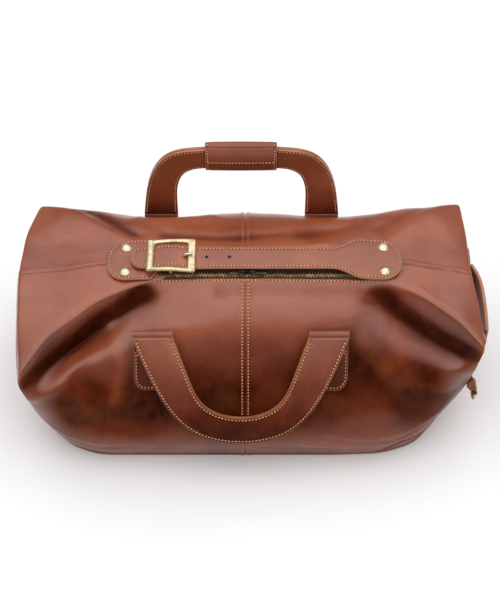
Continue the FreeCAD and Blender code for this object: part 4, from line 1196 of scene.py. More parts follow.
def make_closure_strap():
    """The long strap with its holes, widening into the right tab."""
    low, high = span("closure_strap")
    s_start, s_end = 96.0, 128.0

    def place(u, v, h):
        return np.stack([u, v, smooth_height(u) + STRAP_THICK / 2 + h], axis=-1)

    tip_a, tip_b = round_ended(low[0], s_start, STRAP_HALF, STRAP_HALF - 0.3, 0, STRAP_Y)
    x = np.linspace(s_start, s_end, 16)[1:-1]
    swell = STRAP_HALF + (TAB_HALF - STRAP_HALF) * soft_step(x, s_start, s_end)
    middle = STRAP_Y + (TAB_Y - STRAP_Y) * soft_step(x, s_start, s_end)
    end_a, end_b = round_ended(s_end, high[0], TAB_HALF, 0, 24, TAB_Y)
    edge_a = np.concatenate([tip_a, np.stack([x, middle - swell], axis=1), end_a])
    edge_b = np.concatenate([tip_b, np.stack([x, middle + swell], axis=1), end_b])
    sheet = Sheet(edge_a, edge_b, place, STRAP_THICK)
    sheet.piece("closure_strap_leather", replaced=["closure_strap"])
    ring = inset_ring(outline_of(sheet), STITCH_INSET)
    ring = np.concatenate([ring, ring[:1]])
    stitch_rows("closure_strap_stitches", [sheet.row(ring)], slot="strap_leather")
    # Each punched hole is a dark disc of painted shade on the strap.
    holes = []
    for x in HOLE_X + (PRONG_HOLE_X,):
        z = float(smooth_height(np.array([x]))[0]) + STRAP_THICK + 0.45
        holes.append(lathe(((0, 0.0), (1.7, 0.0), (2.2, -0.12), (2.2, -1.5)), (x, STRAP_Y, z), 20))
    verts, faces = joined(holes)
    make_piece("closure_strap_punched_holes", verts, faces, HOLE_SHADE, slot="strap_leather")


def soft_ring(low, high, power, count):
    """A soft rectangle between two corners, seen from above."""
    half = (high - low) / 2
    return (low + high)[:2] / 2 + soft_rectangle(half[0], half[1], count, power)


def make_buckle():
    """A cast frame with a roller on its left bar and lugs down to the centre bar."""
    low, high = span("buckle_frame")
    shift = np.array([0, STRAP_Y - TAB_Y, 0])
    low, high = low + shift, high + shift
    low[1], high[1] = low[1] + 1.5, high[1] - 1.5
    count = 160
    outer = soft_ring(low, high, 26, count)
    inner = soft_ring(low + (8.5, 5.4, 0), high - (9, 5.4, 0), 18, count)
    taper = np.interp(outer[:, 0], (low[0], high[0]), (0.90, 1.0))
    outer[:, 1] = STRAP_Y + (outer[:, 1] - STRAP_Y) * taper
    inner[:, 1] = STRAP_Y + (inner[:, 1] - STRAP_Y) * taper
    middle, half = (outer + inner) / 2, (outer - inner) / 2
    arch = 1.7 * np.cos((middle[:, 0] - BUCKLE_X) / (high[0] - low[0]) * math.pi) ** 2
    z = high[2] - 2.9 + arch
    angles = round_angles(16)
    c, s = np.cos(angles), np.sin(angles)
    flat = np.sign(c) * abs(c) ** 0.62
    tall = np.sign(s) * abs(s) ** 0.8
    rings = np.concatenate([middle[:, None] + half[:, None] * flat[None, :, None],
                            (z[:, None] + 2.1 * tall[None, :])[..., None]], axis=2)
    verts = rings.reshape(-1, 3)
    index = np.arange(len(verts)).reshape(count, 16)
    index = wrapped(index)
    index = np.concatenate([index, index[:1]], axis=0)
    parts = [(verts, grid_faces(index).tolist())]
    roller_x = low[0] + 4.0
    roller = np.array([(roller_x, low[1] + 2.2, high[2] - 2.7), (roller_x, high[1] - 2.2, high[2] - 2.7)])
    parts.append(tube(evenly(roller, 24), 4.2, 28, flat=0.72))
    for side in (-1, 1):
        y = STRAP_Y + side * ((high[1] - low[1]) / 2 * 0.95 - 3.3)
        lug = np.array([(BUCKLE_X, y, BAR_Z - 1.4), (BUCKLE_X, y, BAR_Z + 2), (BUCKLE_X, y, high[2] - 1)])
        parts.append(tube(evenly(lug, 8), np.interp(range(8), (0, 3, 7), (1.0, 1.2, 1.7)), 14, up=(0, 1, 0)))
    verts, faces = joined(parts)
    relief = np.interp(verts[:, 2], (high[2] - 1, high[2] + 2.4), (0, 1))
    make_piece("buckle_frame_cast", verts, faces, BRASS, slot="antique_brass", replaced=["buckle_frame"],
               relief=relief)
    bar = np.array([(BUCKLE_X, low[1] + 4.6, BAR_Z), (BUCKLE_X, high[1] - 4.6, BAR_Z)])
    verts, faces = tube(evenly(bar, 12), 1.8, 16)
    make_piece("buckle_centre_bar", verts, faces, BRASS, slot="antique_brass", replaced=["buckle_bar"])


def make_prong():
    """The tongue lies under the strap from the centre bar and comes up at the right-hand bar."""
    high = span("buckle_prong")[1]
    top = span("buckle_frame")[1][2] - 1.6
    y = STRAP_Y
    route = ((BUCKLE_X + 2.4, y, BAR_Z + 0.4), (BUCKLE_X + 8, y, BAR_Z), (BUCKLE_X + 12.5, y, BAR_Z + 1.2),
             (BUCKLE_X + 14.6, y, BAR_Z + 6.5), (BUCKLE_X + 17.0, y, top + 1.2),
             (high[0] - 1.2, y, top + 1.9))
    path = curve_through(route, 30)
    width = np.interp(np.arange(30), (0, 22, 29), (1.8, 2.0, 1.9))
    angles = round_angles(24)
    eye = np.stack([BUCKLE_X + 2.8 * np.cos(angles), np.full(24, y), BAR_Z + 2.8 * np.sin(angles)], axis=1)
    verts, faces = joined([tube(path, width, 14, flat=0.8, up=(0, 1, 0)),
                           tube(eye, 0.8, 10, True, 2.0, (0, 1, 0))])
    make_piece("buckle_prong_tongue", verts, faces, BRASS, "buckle_prong", "antique_brass", ["buckle_prong"])


RIVET_PROFILE = ((0, 3.3), (1.5, 3.16), (3.0, 2.7), (4.3, 1.95), (5.2, 1.2), (5.8, 0.8), (6.3, 0.45),
                 (6.3, -0.8))


def make_rivets():
    """Two domed rivets at each tab."""
    for side in ("left", "right"):
        node = side + "_tab_rivets"
        low, high = span(node)
        x = (low[0] + high[0]) / 2
        if side == "left":
            z = float(height_over_skin(low[0], high[0], *TAB_BAND)(x)) + 0.2 + TAB_THICK + 0.3
        else:
            z = float(smooth_height(np.array([x]))[0]) + STRAP_THICK + 0.3
        domes = [lathe(RIVET_PROFILE, (x, y, z), 36) for y in (low[1] + 6, high[1] - 6)]
        verts, faces = joined(domes)
        relief = np.interp(verts[:, 2], (z, z + 2.7), (0, 1))
        make_piece(node + "_domed", verts, faces, BRASS, slot="antique_brass", replaced=[node], relief=relief)


def make_chape():
    """Two narrow loops of leather round the centre bar, one each side of the tongue."""
    low, high = span("buckle_chape")
    angles = np.linspace(-math.pi * 0.75, math.pi * 0.8, 22)
    bend = np.stack([BUCKLE_X + 2.9 * np.cos(angles), BAR_Z + 2.9 * np.sin(angles)], axis=1)
    tail = np.array([(low[0] + 1, BAR_Z - 2.4), (BUCKLE_X - 6, BAR_Z - 2.6)])
    path = evenly(np.concatenate([tail, bend]), 40)
    normal = unit(np.stack([-np.gradient(path[:, 1]), np.gradient(path[:, 0])], axis=1))
    lengths = arc_lengths(path)
    parts, reliefs = [], []
    for y0, y1 in ((low[1] - 2, STRAP_Y - 3.2), (STRAP_Y + 3.2, high[1] - 2)):
        def place(u, v, h):
            x = np.interp(u, lengths, path[:, 0]) + np.interp(u, lengths, normal[:, 0]) * h
            z = np.interp(u, lengths, path[:, 1]) + np.interp(u, lengths, normal[:, 1]) * h
            return np.stack([x, v, z], axis=-1)

        edges = edge_pair(np.linspace(0, lengths[-1], 40), y0, y1)
        sheet = Sheet(*edges, place, 1.0, groove=False, crown=0.0, round_r=0.5)
        verts, faces, relief = sheet.build()
        parts.append((verts, faces))
        reliefs.append(relief)
    verts, faces = joined(parts)
    make_piece("buckle_chape_leather", verts, faces, STRAP, slot="strap_leather", replaced=["buckle_chape"],
               relief=np.concatenate(reliefs))


make_left_tab()
make_closure_strap()
make_buckle()
make_prong()
make_rivets()
make_chape()


# ---------------------------------------------------------------- zip
def tooth_shape():
    """A rounded block, one unit half size, whose inner end is a little narrower."""
    steps = np.linspace(-1, 1, 6)
    angles = round_angles(12)
    c, s = np.cos(angles), np.sin(angles)
    ring = np.stack([np.sign(c) * abs(c) ** 0.55, np.sign(s) * abs(s) ** 0.7], axis=1)
    girth = np.array([0.72, 0.97, 1.0, 1.0, 0.97, 0.72])
    verts = np.stack([np.repeat(ring[None, :, 0], 6, 0) * girth[:, None], np.repeat(steps[:, None], 12, 1),
                      np.repeat(ring[None, :, 1], 6, 0) * girth[:, None]], axis=-1).reshape(-1, 3)
    index = np.arange(72).reshape(6, 12)
    index = wrapped(index)
    return verts, grid_faces(index).tolist() + [index[0, :-1][::-1].tolist(), index[-1, :-1].tolist()]


def make_zip():
    """A row of cast teeth on each tape."""
    verts, faces = tooth_shape()
    for side in ("front", "back"):
        node = "zip_teeth_" + side
        low, high = span(node)
        count = int((high[0] - low[0]) / TOOTH_PITCH) + 1
        y, z = (low[1] + high[1]) / 2, high[2] - 1.0
        centres = np.array([(low[0] + 0.65 + i * TOOTH_PITCH, y, z) for i in range(count)])
        axes = np.repeat(np.eye(3)[None], count, axis=0)
        teeth = copies(verts, faces, centres, axes, (0.95, (high[1] - low[1]) / 2, 1.15))
        make_piece(node + "_cast", *teeth, ZIP_METAL, slot="zip_brass", replaced=[node])


def make_slider(side):
    """A slider: its plate, two rails and the bail that holds the pull."""
    node = "zip_slider_" + side
    low, high = span(node)
    x, y = (low[0] + high[0]) / 2, (low[1] + high[1]) / 2
    nose = -1 if side == "left" else 1
    top = high[2] - 3.8

    def place(u, v, h):
        return np.stack([u, v, top - 0.6 + h], axis=-1)

    along = np.linspace(-1, 1, 19)
    narrowing = np.interp(along * nose, (-1, 1), (0.74, 1.0))
    half = 4.0 * np.clip(1 - abs(along) ** 5, 0.02, 1) ** 0.5 * narrowing
    edges = edge_pair(x + 4.4 * along, y - half, y + half)
    plate = Sheet(*edges, place, 1.5, groove=False, crown=0.25, round_r=0.6)
    parts = [plate.build()[:2]]
    for edge in (-1, 1):
        rail = np.array([(x - 3.0, y + edge * 4.0, top - 2.0), (x, y + edge * 4.05, top - 2.1),
                         (x + 3.0, y + edge * 4.0, top - 2.0)])
        parts.append(tube(evenly(rail, 8), 0.55, 10, flat=2.4))
    bail = [(x + 2.5 * math.cos(a), y, top + 0.2 + 3.1 * math.sin(a)) for a in np.linspace(0, math.pi, 17)]
    parts.append(tube(np.array(bail), 0.55, 10, flat=1.7, up=(0, 1, 0)))
    verts, faces = joined(parts)
    make_piece(node + "_body", verts, faces, DARK_METAL, node, "zip_brass", [node])


def make_pull(side):
    """A slider's pull: a tapered tag with a round eye."""
    node = "zip_pull_" + side
    low, high = span(node)
    y, z = (low[1] + high[1]) / 2, (low[2] + high[2]) / 2
    toward = 1 if side == "left" else -1
    eye_x = high[0] - 2.6 if side == "left" else low[0] + 2.6
    tip_x = low[0] if side == "left" else high[0]

    def place(u, v, h):
        return np.stack([u, v, z + h], axis=-1)

    stations = np.linspace(tip_x, eye_x - toward * 3.0, 17)
    share = np.linspace(0, 1, 17)
    rounding = np.clip(1 - (1 - np.minimum(share / 0.16, 1)) ** 2, 0.03, 1) ** 0.5
    half = 2.5 * rounding * np.interp(share, (0, 1), (1, 0.66))
    edges = edge_pair(stations, y - half, y + half)
    blade = Sheet(*edges, place, 1.2, groove=False, crown=0.15, round_r=0.5)
    angles = round_angles(28)
    ring_x = eye_x - toward * 0.4 + 2.8 * np.cos(angles)
    ring = np.stack([ring_x, y + 2.0 * np.sin(angles), np.full(28, z)], axis=1)
    verts, faces = joined([blade.build()[:2], tube(ring, 0.6, 10, True)])
    make_piece(node + "_tag", verts, faces, DARK_METAL, node, "zip_brass", [node])


def skin_edge_rows():
    """Stitch rows beside the zip and down the centre seams."""
    rows = []
    start, end = skin.slot
    for row, side, offset, x0, x1 in ((skin.low, -1, 2.7, -96, 142), (skin.high, 1, 3.0, -90, 136)):
        edge = skin.points[skin.main[row, start:end + 1]]
        xs = np.arange(x0, x1, 3.0)
        ys = np.interp(xs, edge[:, 0], edge[:, 1]) + side * offset
        rows.append(skin.row([(x, y, 300) for x, y in zip(xs, ys)], (0, 0, -1)))
    seam_x = skin.points[skin.main[:, skin.centre], 0].mean()
    for side in (-1, 1):
        x = seam_x + side * SEAM_ROW
        rows.append(skin.row([(x, -300, z) for z in np.arange(SEAM_LOW, FRONT_SEAM_TOP, 2.5)], (0, 1, 0)))
        rows.append(skin.row([(x, 300, z) for z in np.arange(SEAM_LOW, BACK_SEAM_TOP, 2.5)], (0, -1, 0)))
    return rows


make_zip()
for side in ("left", "right"):
    make_slider(side)
    make_pull(side)
stitch_rows("body_stitches", skin_edge_rows(), slant=4.0)


# ---------------------------------------------------------------- carry handles
# Half of each edge as (across, along) from the fold line, from the foot to the middle of the grip.
FRONT_OUTER = ((118, 2), (92, 62), (52, 114), (0, 128))
FRONT_INNER = ((74, 2), (58, 45), (40, 80), (0, 95))
REAR_OUTER = ((113, 3.8), (110.5, 26), (106, 52), (98, 76), (86, 95), (73, 104.5), (56, 109), (0, 111))
REAR_INNER = ((74, 3.8), (74, 30), (71, 54), (64, 68), (53, 75), (38, 77), (0, 77.5))


def whole_outline(half, count):
    """A handle's edge from foot to foot, out of its half."""
    left = [(-x, h) for x, h in half]
    right = [(x, h) for x, h in reversed(half[:-1])]
    return curve_through(left + right, count)


def handle_frame(which):
    """How a handle's flat plan lies: a point, the way along it and the way out of its face."""
    if which == "front":
        pivot = joint_place("front_handle_fold")
        along = np.array([0, -math.cos(FRONT_DROOP), -math.sin(FRONT_DROOP)])
        out = np.array([0, -math.sin(FRONT_DROOP), math.cos(FRONT_DROOP)])
    else:
        pivot = joint_place("rear_handle_fold")
        along, out = np.array([0, 0, 1.0]), np.array([0, 1.0, 0])
    return np.array([HANDLE_X, pivot[1], pivot[2]]), along, out


def make_handle(which, outer, inner, bow, tones):
    """Two stitched plies that bow outward, and the folds at their feet."""
    origin, along, out = handle_frame(which)
    body = which + "_handle"
    length = outer[-1][1]
    stations = 130
    edge_a, edge_b = whole_outline(outer, stations), whole_outline(inner, stations)
    rows = []
    for ply, side in (("outer", 1), ("inner", -1)):
        def place(u, v, h, side=side):
            """From the handle's flat plan to its ply, bowed out of the plan's plane."""
            shift = side * (0.1 + PLY_THICK / 2) + h
            shift = shift + bow * np.sin(np.clip(v / length, 0, 1) * math.pi)
            point = origin + along * v[..., None] + out * shift[..., None]
            return point + np.array([1.0, 0, 0]) * u[..., None]

        groove = "both" if side < 0 else True
        sheet = Sheet(edge_a, edge_b, place, PLY_THICK, open_ends=True, groove=groove)
        sheet.piece("%s_%s_ply" % (body, ply), body, replaced=["%s_%s_ply" % (body, ply)], tones=tones)
        for edge, sign in ((edge_a, -1), (edge_b, 1)):
            path = inset_path(edge, sign * STITCH_INSET)
            path = path[path[:, 1] > 6.5]
            if which == "rear":
                grip = abs(path[:, 0]) > 41
                for part in (path[grip & (path[:, 0] < 0)], path[grip & (path[:, 0] > 0)]):
                    rows.append(sheet.row(part, side))
            else:
                rows.append(sheet.row(path, side))
    stitch_rows(body + "_stitches", rows, body, "strap_leather", 12.0)
    make_folds(body, outer[0][0], inner[0][0], origin)


def make_folds(body, far, near, origin):
    """The rolled fold at each foot, turning about the handle's own pivot line."""
    parts, reliefs = [], []
    for side in (-1, 1):
        x0, x1 = sorted((origin[0] + side * far, origin[0] + side * near))
        width = x1 - x0
        near_edge = EDGE_STEPS[:8]
        middle = np.linspace(EDGE_STEPS[-1], width - EDGE_STEPS[-1], 6)
        steps = np.concatenate([near_edge, middle, width - near_edge[::-1]])
        gap = np.minimum(steps, width - steps)
        radius = FOLD_R - FOLD_EDGE_R + rounded_rise(gap, FOLD_EDGE_R)
        path = np.stack([x0 + steps, np.full(len(steps), origin[1]), np.full(len(steps), origin[2])], axis=1)
        parts.append(tube(path, radius, 28))
        reliefs.append(np.repeat(1.0 * np.exp(-(gap / 0.9) ** 2) + 0.25, 28))
    verts, faces = joined(parts)
    make_piece(body + "_folds", verts, faces, STRAP, body, "strap_leather", relief=np.concatenate(reliefs))


def make_patch(which, side, far, near, heights, skin_side):
    """A handle's sewn foot: it lies on the leather, then stands off it up to the fold."""
    node = "%s_handle_patch_%s" % (which, side)
    origin = handle_frame(which)[0]
    z_low, z_top = heights
    sign = -1 if side == "left" else 1
    x0, x1 = sorted((origin[0] + sign * far, origin[0] + sign * near))
    top = z_top - z_low
    rise = origin[2] - z_top
    length = top + rise
    grid_v, grid_u = np.linspace(0, top, 12), np.linspace(x0, x1, 7)
    start = -300 if skin_side < 0 else 300
    hits = [[skin.hit((x, start, z_low + v), (0, -skin_side, 0)) for x in grid_u] for v in grid_v]
    base = np.array([[h[0] for h in line] for line in hits])
    normal = np.array([[h[1] for h in line] for line in hits])
    normal = unit(normal + normal.mean(axis=(0, 1)) * 2)
    behind_fold = FOLD_R - (0.0 if which == "rear" else PATCH_THICK / 2 + 0.2)
    top_y = origin[1] - skin_side * behind_fold
    lift = PATCH_THICK / 2 + 0.35

    def sample(table, u, v):
        """A value between the entries of a table over the patch's grid."""
        i = np.clip(v / top, 0, 1) * (len(grid_v) - 1)
        j = np.clip((u - x0) / (x1 - x0), 0, 1) * (len(grid_u) - 1)
        i0, j0 = np.minimum(i.astype(int), len(grid_v) - 2), np.minimum(j.astype(int), len(grid_u) - 2)
        a, b = (i - i0)[..., None], (j - j0)[..., None]
        return ((1 - a) * (1 - b) * table[i0, j0] + a * (1 - b) * table[i0 + 1, j0]
                + (1 - a) * b * table[i0, j0 + 1] + a * b * table[i0 + 1, j0 + 1])

    def place(u, v, h):
        """Lying on the leather up to the top stitches, and straight from there to the fold."""
        at_top = np.full_like(v, top)
        low_part = sample(base, u, v) + sample(normal, u, v) * (lift + h)[..., None]
        straight = np.clip((v - top) / rise, 0, 1)[..., None]
        edge = sample(base, u, at_top) + sample(normal, u, at_top) * (lift + h)[..., None]
        target = np.stack([u, np.full_like(u, top_y) + skin_side * h, np.full_like(u, origin[2])], axis=-1)
        high_part = edge * (1 - straight) + target * straight
        return np.where((v > top)[..., None], high_part, low_part)

    r = 13.0
    angle = np.linspace(0, math.pi / 2, 12)
    v = np.concatenate([r * (1 - np.cos(angle)), np.arange(r, length, 2.4)[1:], [length]])
    w = np.concatenate([r * (1 - np.sin(angle)), np.zeros(len(v) - 12)])
    edge_a, edge_b = np.stack([x0 + w, v], axis=1), np.stack([x1 - w, v], axis=1)
    sheet = Sheet(edge_a, edge_b, place, PATCH_THICK, crown=0.2)
    sheet.piece(node + "_leather", replaced=[node], tones=FOOT_TONES)
    ring = inset_ring(outline_of(sheet), STITCH_INSET)
    ring = ring[ring[:, 1] < top - 4]
    ring = open_at_gap(ring, 5)
    bars = []
    for v_bar in (top - 4, top - 8):
        xs = np.linspace(x0 + STITCH_INSET, x1 - STITCH_INSET, 12)
        bars.append(sheet.row(np.stack([xs, np.full(12, v_bar)], axis=1)))
    stitch_rows(node + "_stitches", [sheet.row(ring)] + bars, slot="strap_leather")


make_handle("front", FRONT_OUTER, FRONT_INNER, FRONT_BOW, FRONT_HANDLE_PAINTED_LIGHT_AND_SHADE)
make_handle("rear", REAR_OUTER, REAR_INNER, REAR_BOW, REAR_HANDLE_PAINTED_SHEEN_AND_SHADE)
for side in ("left", "right"):
    make_patch("front", side, FRONT_OUTER[0][0], FRONT_INNER[0][0], FRONT_PATCH, -1)
    make_patch("rear", side, REAR_OUTER[0][0], REAR_INNER[0][0], REAR_PATCH, 1)


# ---------------------------------------------------------------- grip wrap
def make_wrap():
    """The leather sleeve round the middle of the rear handle."""
    low, high = span("handle_wrap")
    y, z = (low[1] + high[1]) / 2, (low[2] + high[2]) / 2
    half_x, half_y, half_z = (high - low) / 2
    count = 72
    length = 2 * half_x
    near_edge = EDGE_STEPS[:9]
    middle = np.linspace(EDGE_STEPS[-1], length - EDGE_STEPS[-1], 22)
    ends = np.concatenate([near_edge, middle, length - near_edge[::-1]])
    gap = np.minimum(ends, length - ends)
    swell = 0.5 * np.sin(ends / length * math.pi)
    outer_rings, inner_rings = [], []
    for x, g, s in zip(ends, gap, swell):
        edge = 1.1 - rounded_rise(g, 1.1)
        dent = 0.4 * math.exp(-((g - STITCH_INSET) / 0.9) ** 2)
        shrink = s - edge - dent
        ring = soft_rectangle(half_y + shrink + 0.4, half_z + shrink + 0.6, count)
        outer_rings.append(np.column_stack([np.full(count, low[0] + x), y + ring[:, 0], z + ring[:, 1]]))
        ring = soft_rectangle(PLY_THICK + 1.0, half_z - 2.0, count, 6.0)
        inner_rings.append(np.column_stack([np.full(count, low[0] + x), y + ring[:, 0], z + ring[:, 1]]))
    verts = np.array(outer_rings + inner_rings[::-1]).reshape(-1, 3)
    index = np.arange(len(verts)).reshape(-1, count)
    index = wrapped(index)
    index = np.concatenate([index, index[:1]], axis=0)
    gaps = np.concatenate([gap, gap[::-1] + 9])
    relief = np.repeat(1.4 * np.exp(-(gaps / 0.9) ** 2), count)
    make_piece("handle_wrap_sleeve", verts, grid_faces(index).tolist(), STRAP, "rear_handle", "strap_leather",
               ["handle_wrap"], relief)
    make_flap(low, high, y, z, half_y, half_z)


def make_flap(low, high, y, z, half_y, half_z):
    """The sleeve's outer edge, folded down over the front and closed by hidden snaps."""
    flap_low, flap_high = span("wrap_flap")
    drop = z - flap_low[2] + 2.0
    profile = soft_rectangle(half_y + 1.3, half_z + 1.4, 400)
    profile = profile[profile[:, 0] < 0]
    profile = profile[np.argsort(-profile[:, 1])]
    profile = profile[profile[:, 1] > -drop]
    profile = profile[profile[:, 1] < flap_high[2] - z + 1.0]
    lengths = arc_lengths(profile)
    slope = unit(np.stack([-np.gradient(profile[:, 1]), np.gradient(profile[:, 0])], axis=1))
    slope = slope * np.where(slope[:, :1] > 0, -1, 1)

    def place(u, v, h):
        h = h * np.interp(v, (0, lengths[-1]), (0.35, 1.25)) + np.interp(v, (0, lengths[-1]), (-0.9, 0.4))
        py = y + np.interp(v, lengths, profile[:, 0]) + np.interp(v, lengths, slope[:, 0]) * h
        pz = z + np.interp(v, lengths, profile[:, 1]) + np.interp(v, lengths, slope[:, 1]) * h
        swell = 0.5 * np.sin((u - low[0]) / (high[0] - low[0]) * math.pi)
        return np.stack([u, py - swell, pz], axis=-1)

    v = np.linspace(0, lengths[-1], 24)
    sheet = Sheet(np.stack([np.full(24, low[0]), v], axis=1), np.stack([np.full(24, high[0]), v], axis=1),
                  place, 1.6, crown=0.0, round_r=0.8, open_ends="start")
    sheet.piece("handle_wrap_flap", "grip_flap", replaced=["wrap_flap"], tones=(0.9, 0.2))
    flap_rows, sleeve_rows = [], []
    for x in (low[0] + STITCH_INSET, high[0] - STITCH_INSET):
        flap_rows.append(sheet.row(np.stack([np.full(12, x), np.linspace(2, lengths[-1] - 1.5, 12)], axis=1)))
        full = soft_rectangle(half_y + 0.1, half_z + 0.3, 90)
        below = full[(full[:, 0] < 0.5) & (full[:, 1] < -drop - 1)]
        below = below[np.argsort(-below[:, 1])]
        behind = full[(full[:, 0] > 0.5) | (full[:, 1] > flap_high[2] - z + 1.5)]
        behind = behind[np.argsort(np.arctan2(-behind[:, 1], behind[:, 0] + half_y * 0.5))]
        for part in (below, behind):
            points = np.column_stack([np.full(len(part), x), y + part[:, 0], z + part[:, 1]])
            steep = part / np.array([half_y ** 2, half_z ** 2])
            sleeve_rows.append((points, unit(np.column_stack([np.zeros(len(part)), steep]))))
    hem = np.linspace(low[0] + STITCH_INSET, high[0] - STITCH_INSET, 40)
    flap_rows.append(sheet.row(np.stack([hem, np.full(40, lengths[-1] - 1.5)], axis=1)))
    stitch_rows("wrap_flap_stitches", flap_rows, "grip_flap", "strap_leather")
    stitch_rows("wrap_sleeve_stitches", sleeve_rows, "rear_handle", "strap_leather")


make_wrap()


# ---------------------------------------------------------------- ends
# The grab handle's inner face seen from above.
END_LOOP = ((254, 34), (260.0, 20), (264, -12), (264, -42), (263, -60))


def path_place(path, along_normal, fixed):
    """Place a strip that runs along a path drawn in two axes, and straight in the fixed axis (1 or 2)."""
    lengths = arc_lengths(path)

    def place(u, v, h):
        a = np.interp(u, lengths, path[:, 0]) + np.interp(u, lengths, along_normal[:, 0]) * h
        b = np.interp(u, lengths, path[:, 1]) + np.interp(u, lengths, along_normal[:, 1]) * h
        return np.stack([a, b, v] if fixed == 2 else [a, v, b], axis=-1)

    return place, lengths[-1]


def make_end_handle():
    """The grab handle that stands off the right end."""
    low, high = span("end_handle")
    path = curve_through(END_LOOP, 60)
    ahead = unit(np.gradient(path, axis=0))
    normal = np.stack([-ahead[:, 1], ahead[:, 0]], axis=1)
    normal = normal * np.where(normal[:, :1] < 0, -1, 1)
    path = path + normal * 2.0
    place, length = path_place(path, normal, 2)
    edge = np.linspace(0, length, 60)
    sheet = Sheet(*edge_pair(edge, low[2], high[2]), place, 4.0, crown=0.4)
    sheet.piece("end_handle_strap", "end_handle", replaced=["end_handle"])
    rows = []
    for side in (1, -1):
        for z in (low[2] + STITCH_INSET, high[2] - STITCH_INSET):
            rows.append(sheet.row(np.stack([edge[2:-2], np.full(56, z)], axis=1), side))
    stitch_rows("end_handle_stitches", rows, "end_handle", "strap_leather")


def make_anchor(side):
    """A sewn foot of the end handle, lying on the end's leather."""
    node = "end_handle_anchor_" + side
    low, high = span(node)

    def place(u, v, h):
        out = np.empty(u.shape + (3,))
        for k in np.ndindex(u.shape):
            place_hit, normal = skin.hit((400, u[k], v[k]), (-1, 0, 0))
            out[k] = place_hit + normal * (h[k] + 1.9)
        return out

    edge = np.linspace(low[1], high[1], 14)
    sheet = Sheet(*edge_pair(edge, low[2], high[2]), place, 3.0, crown=0.2)
    sheet.piece(node + "_leather", replaced=[node], tones=FOOT_TONES)
    ring = inset_ring(outline_of(sheet), STITCH_INSET)
    stitch_rows(node + "_stitches", [sheet.row(np.concatenate([ring, ring[:1]]))], slot="strap_leather")


def make_ring_tab(side):
    """A folded leather tab that holds a ring by its straight bar."""
    node = "ring_tab_" + side
    low, high = span(node)
    ring_low, ring_high = span("d_ring_" + side)
    out = 1 if side == "right" else -1
    cx, cz = (ring_low[0] + ring_high[0]) / 2, ring_high[2] - 1.6
    y = (low[1] + high[1]) / 2
    upper = [out * (skin.hit((out * 400, y, cz + rise), (-out, 0, 0))[0][0] - cx) for rise in (27, 14)]
    shape = ((upper[0] + 1.0, 27), (upper[1] + 1.0, 14), (-2.7, 3), (-2.0, -2.0), (0, -2.9), (2.0, -2.0),
             (2.8, 1), (1.8, 5), (upper[1] + 2.9, 14), (upper[0] + 2.8, 26))
    path = curve_through([(cx + out * a, cz + b) for a, b in shape], 60)
    ahead = unit(np.gradient(path, axis=0))
    normal = np.stack([-ahead[:, 1], ahead[:, 0]], axis=1)
    place, length = path_place(path, normal, 1)
    edges = edge_pair(np.linspace(0, length, 60), low[1], high[1])
    sheet = Sheet(*edges, place, 1.7, groove=False, crown=0.0, round_r=0.8)
    sheet.piece(node + "_leather", replaced=[node], tones=FOOT_TONES)


def make_ring(side):
    """A D-shaped wire ring with its straight bar on the joint."""
    node = "d_ring_" + side
    low, high = span(node)
    cx, cy, cz = (low[0] + high[0]) / 2, (low[1] + high[1]) / 2, high[2] - RING_WIRE_R
    bow = [(cx, cy + RING_R * math.cos(a), cz - RING_R * math.sin(a)) for a in np.linspace(0, math.pi, 33)]
    bar = [(cx, cy - RING_R + 2 * RING_R * t, cz) for t in np.linspace(0.03, 0.97, 12)]
    verts, faces = tube(np.array(bow + bar), RING_WIRE_R, 14, True, up=(1, 0, 0))
    make_piece(node + "_wire", verts, faces, BRASS, "ring_" + side, "antique_brass", [node])


make_end_handle()
for side in ("front", "back"):
    make_anchor(side)
for side in ("left", "right"):
    make_ring_tab(side)
    make_ring(side)


# ---------------------------------------------------------------- base
def foot_outline():
    """The skin's lower edge, once round."""
    front, back = skin.main[0], skin.main[-1][::-1]
    right, left = skin.walls["right"][0][1:-1], skin.walls["left"][0][1:-1][::-1]
    return skin.points[np.concatenate([front, right, back, left])]


# The base's rounded edge and underside: (inset from the skin's lower edge, height, rubbed relief).
BASE_PROFILE = (
    (-0.2, 4.4, 0.2), (-0.7, 3.2, 0.9), (-0.5, 2.0, 0.9), (0.6, 0.8, 0.4),
    (2.4, 0.05, 0), (9, 0.0, 0), (30, 0.2, 0), (60, 0.4, 0),
)


def make_base():
    """A flat leather base whose rounded edge is sewn to the skin."""
    ring = foot_outline()
    ring = evenly(np.concatenate([ring, ring[:1]]), 361)[:-1]
    centre = np.array([ring[:, 0].mean(), 0, 0])
    out = unit((ring - centre) * np.array([1, 1, 0]))
    rows = []
    for inset, z, _ in BASE_PROFILE:
        line = ring - out * inset
        line[:, 2] = z
        rows.append(line)
    verts = np.concatenate(rows + [[(centre[0], 0, 0.5)]])
    count, last = len(ring), len(verts) - 1
    index = np.arange(last).reshape(-1, count)
    index = wrapped(index)
    faces = grid_faces(index).tolist()
    faces += [[last, int(a), int(b)] for a, b in zip(index[-1, :-1], index[-1, 1:])]
    relief = np.append(np.repeat([rubbed for _, _, rubbed in BASE_PROFILE], count), 0)
    make_piece("base_leather", verts, faces, BODY, replaced=["base_panel"], relief=relief)


# The welt's line seen from the front.
BASE_SEAM = ((142, 2.5), (156, 6), (170, 17), (190, 18), (212, 15), (232, 14))


def make_base_welt():
    """A thin welt along the base seam where it climbs over the right front corner."""
    line = curve_through(BASE_SEAM, 40)
    points, normals = [], []
    for x, z in line:
        start = np.array([x, -300.0, z])
        place, normal = skin.hit(start, (0, 1, 0))
        if place is not None and place[1] < -40:
            points.append(place)
            normals.append(normal)
    points, normals = np.array(points), np.array(normals)
    verts, faces = tube(points + normals * 0.1, 1.15, 10, up=(0, -1, 0))
    make_piece("base_welt", verts, faces, STRAP, slot="strap_leather", relief=np.full(len(verts), 0.3))


make_base()
make_base_welt()


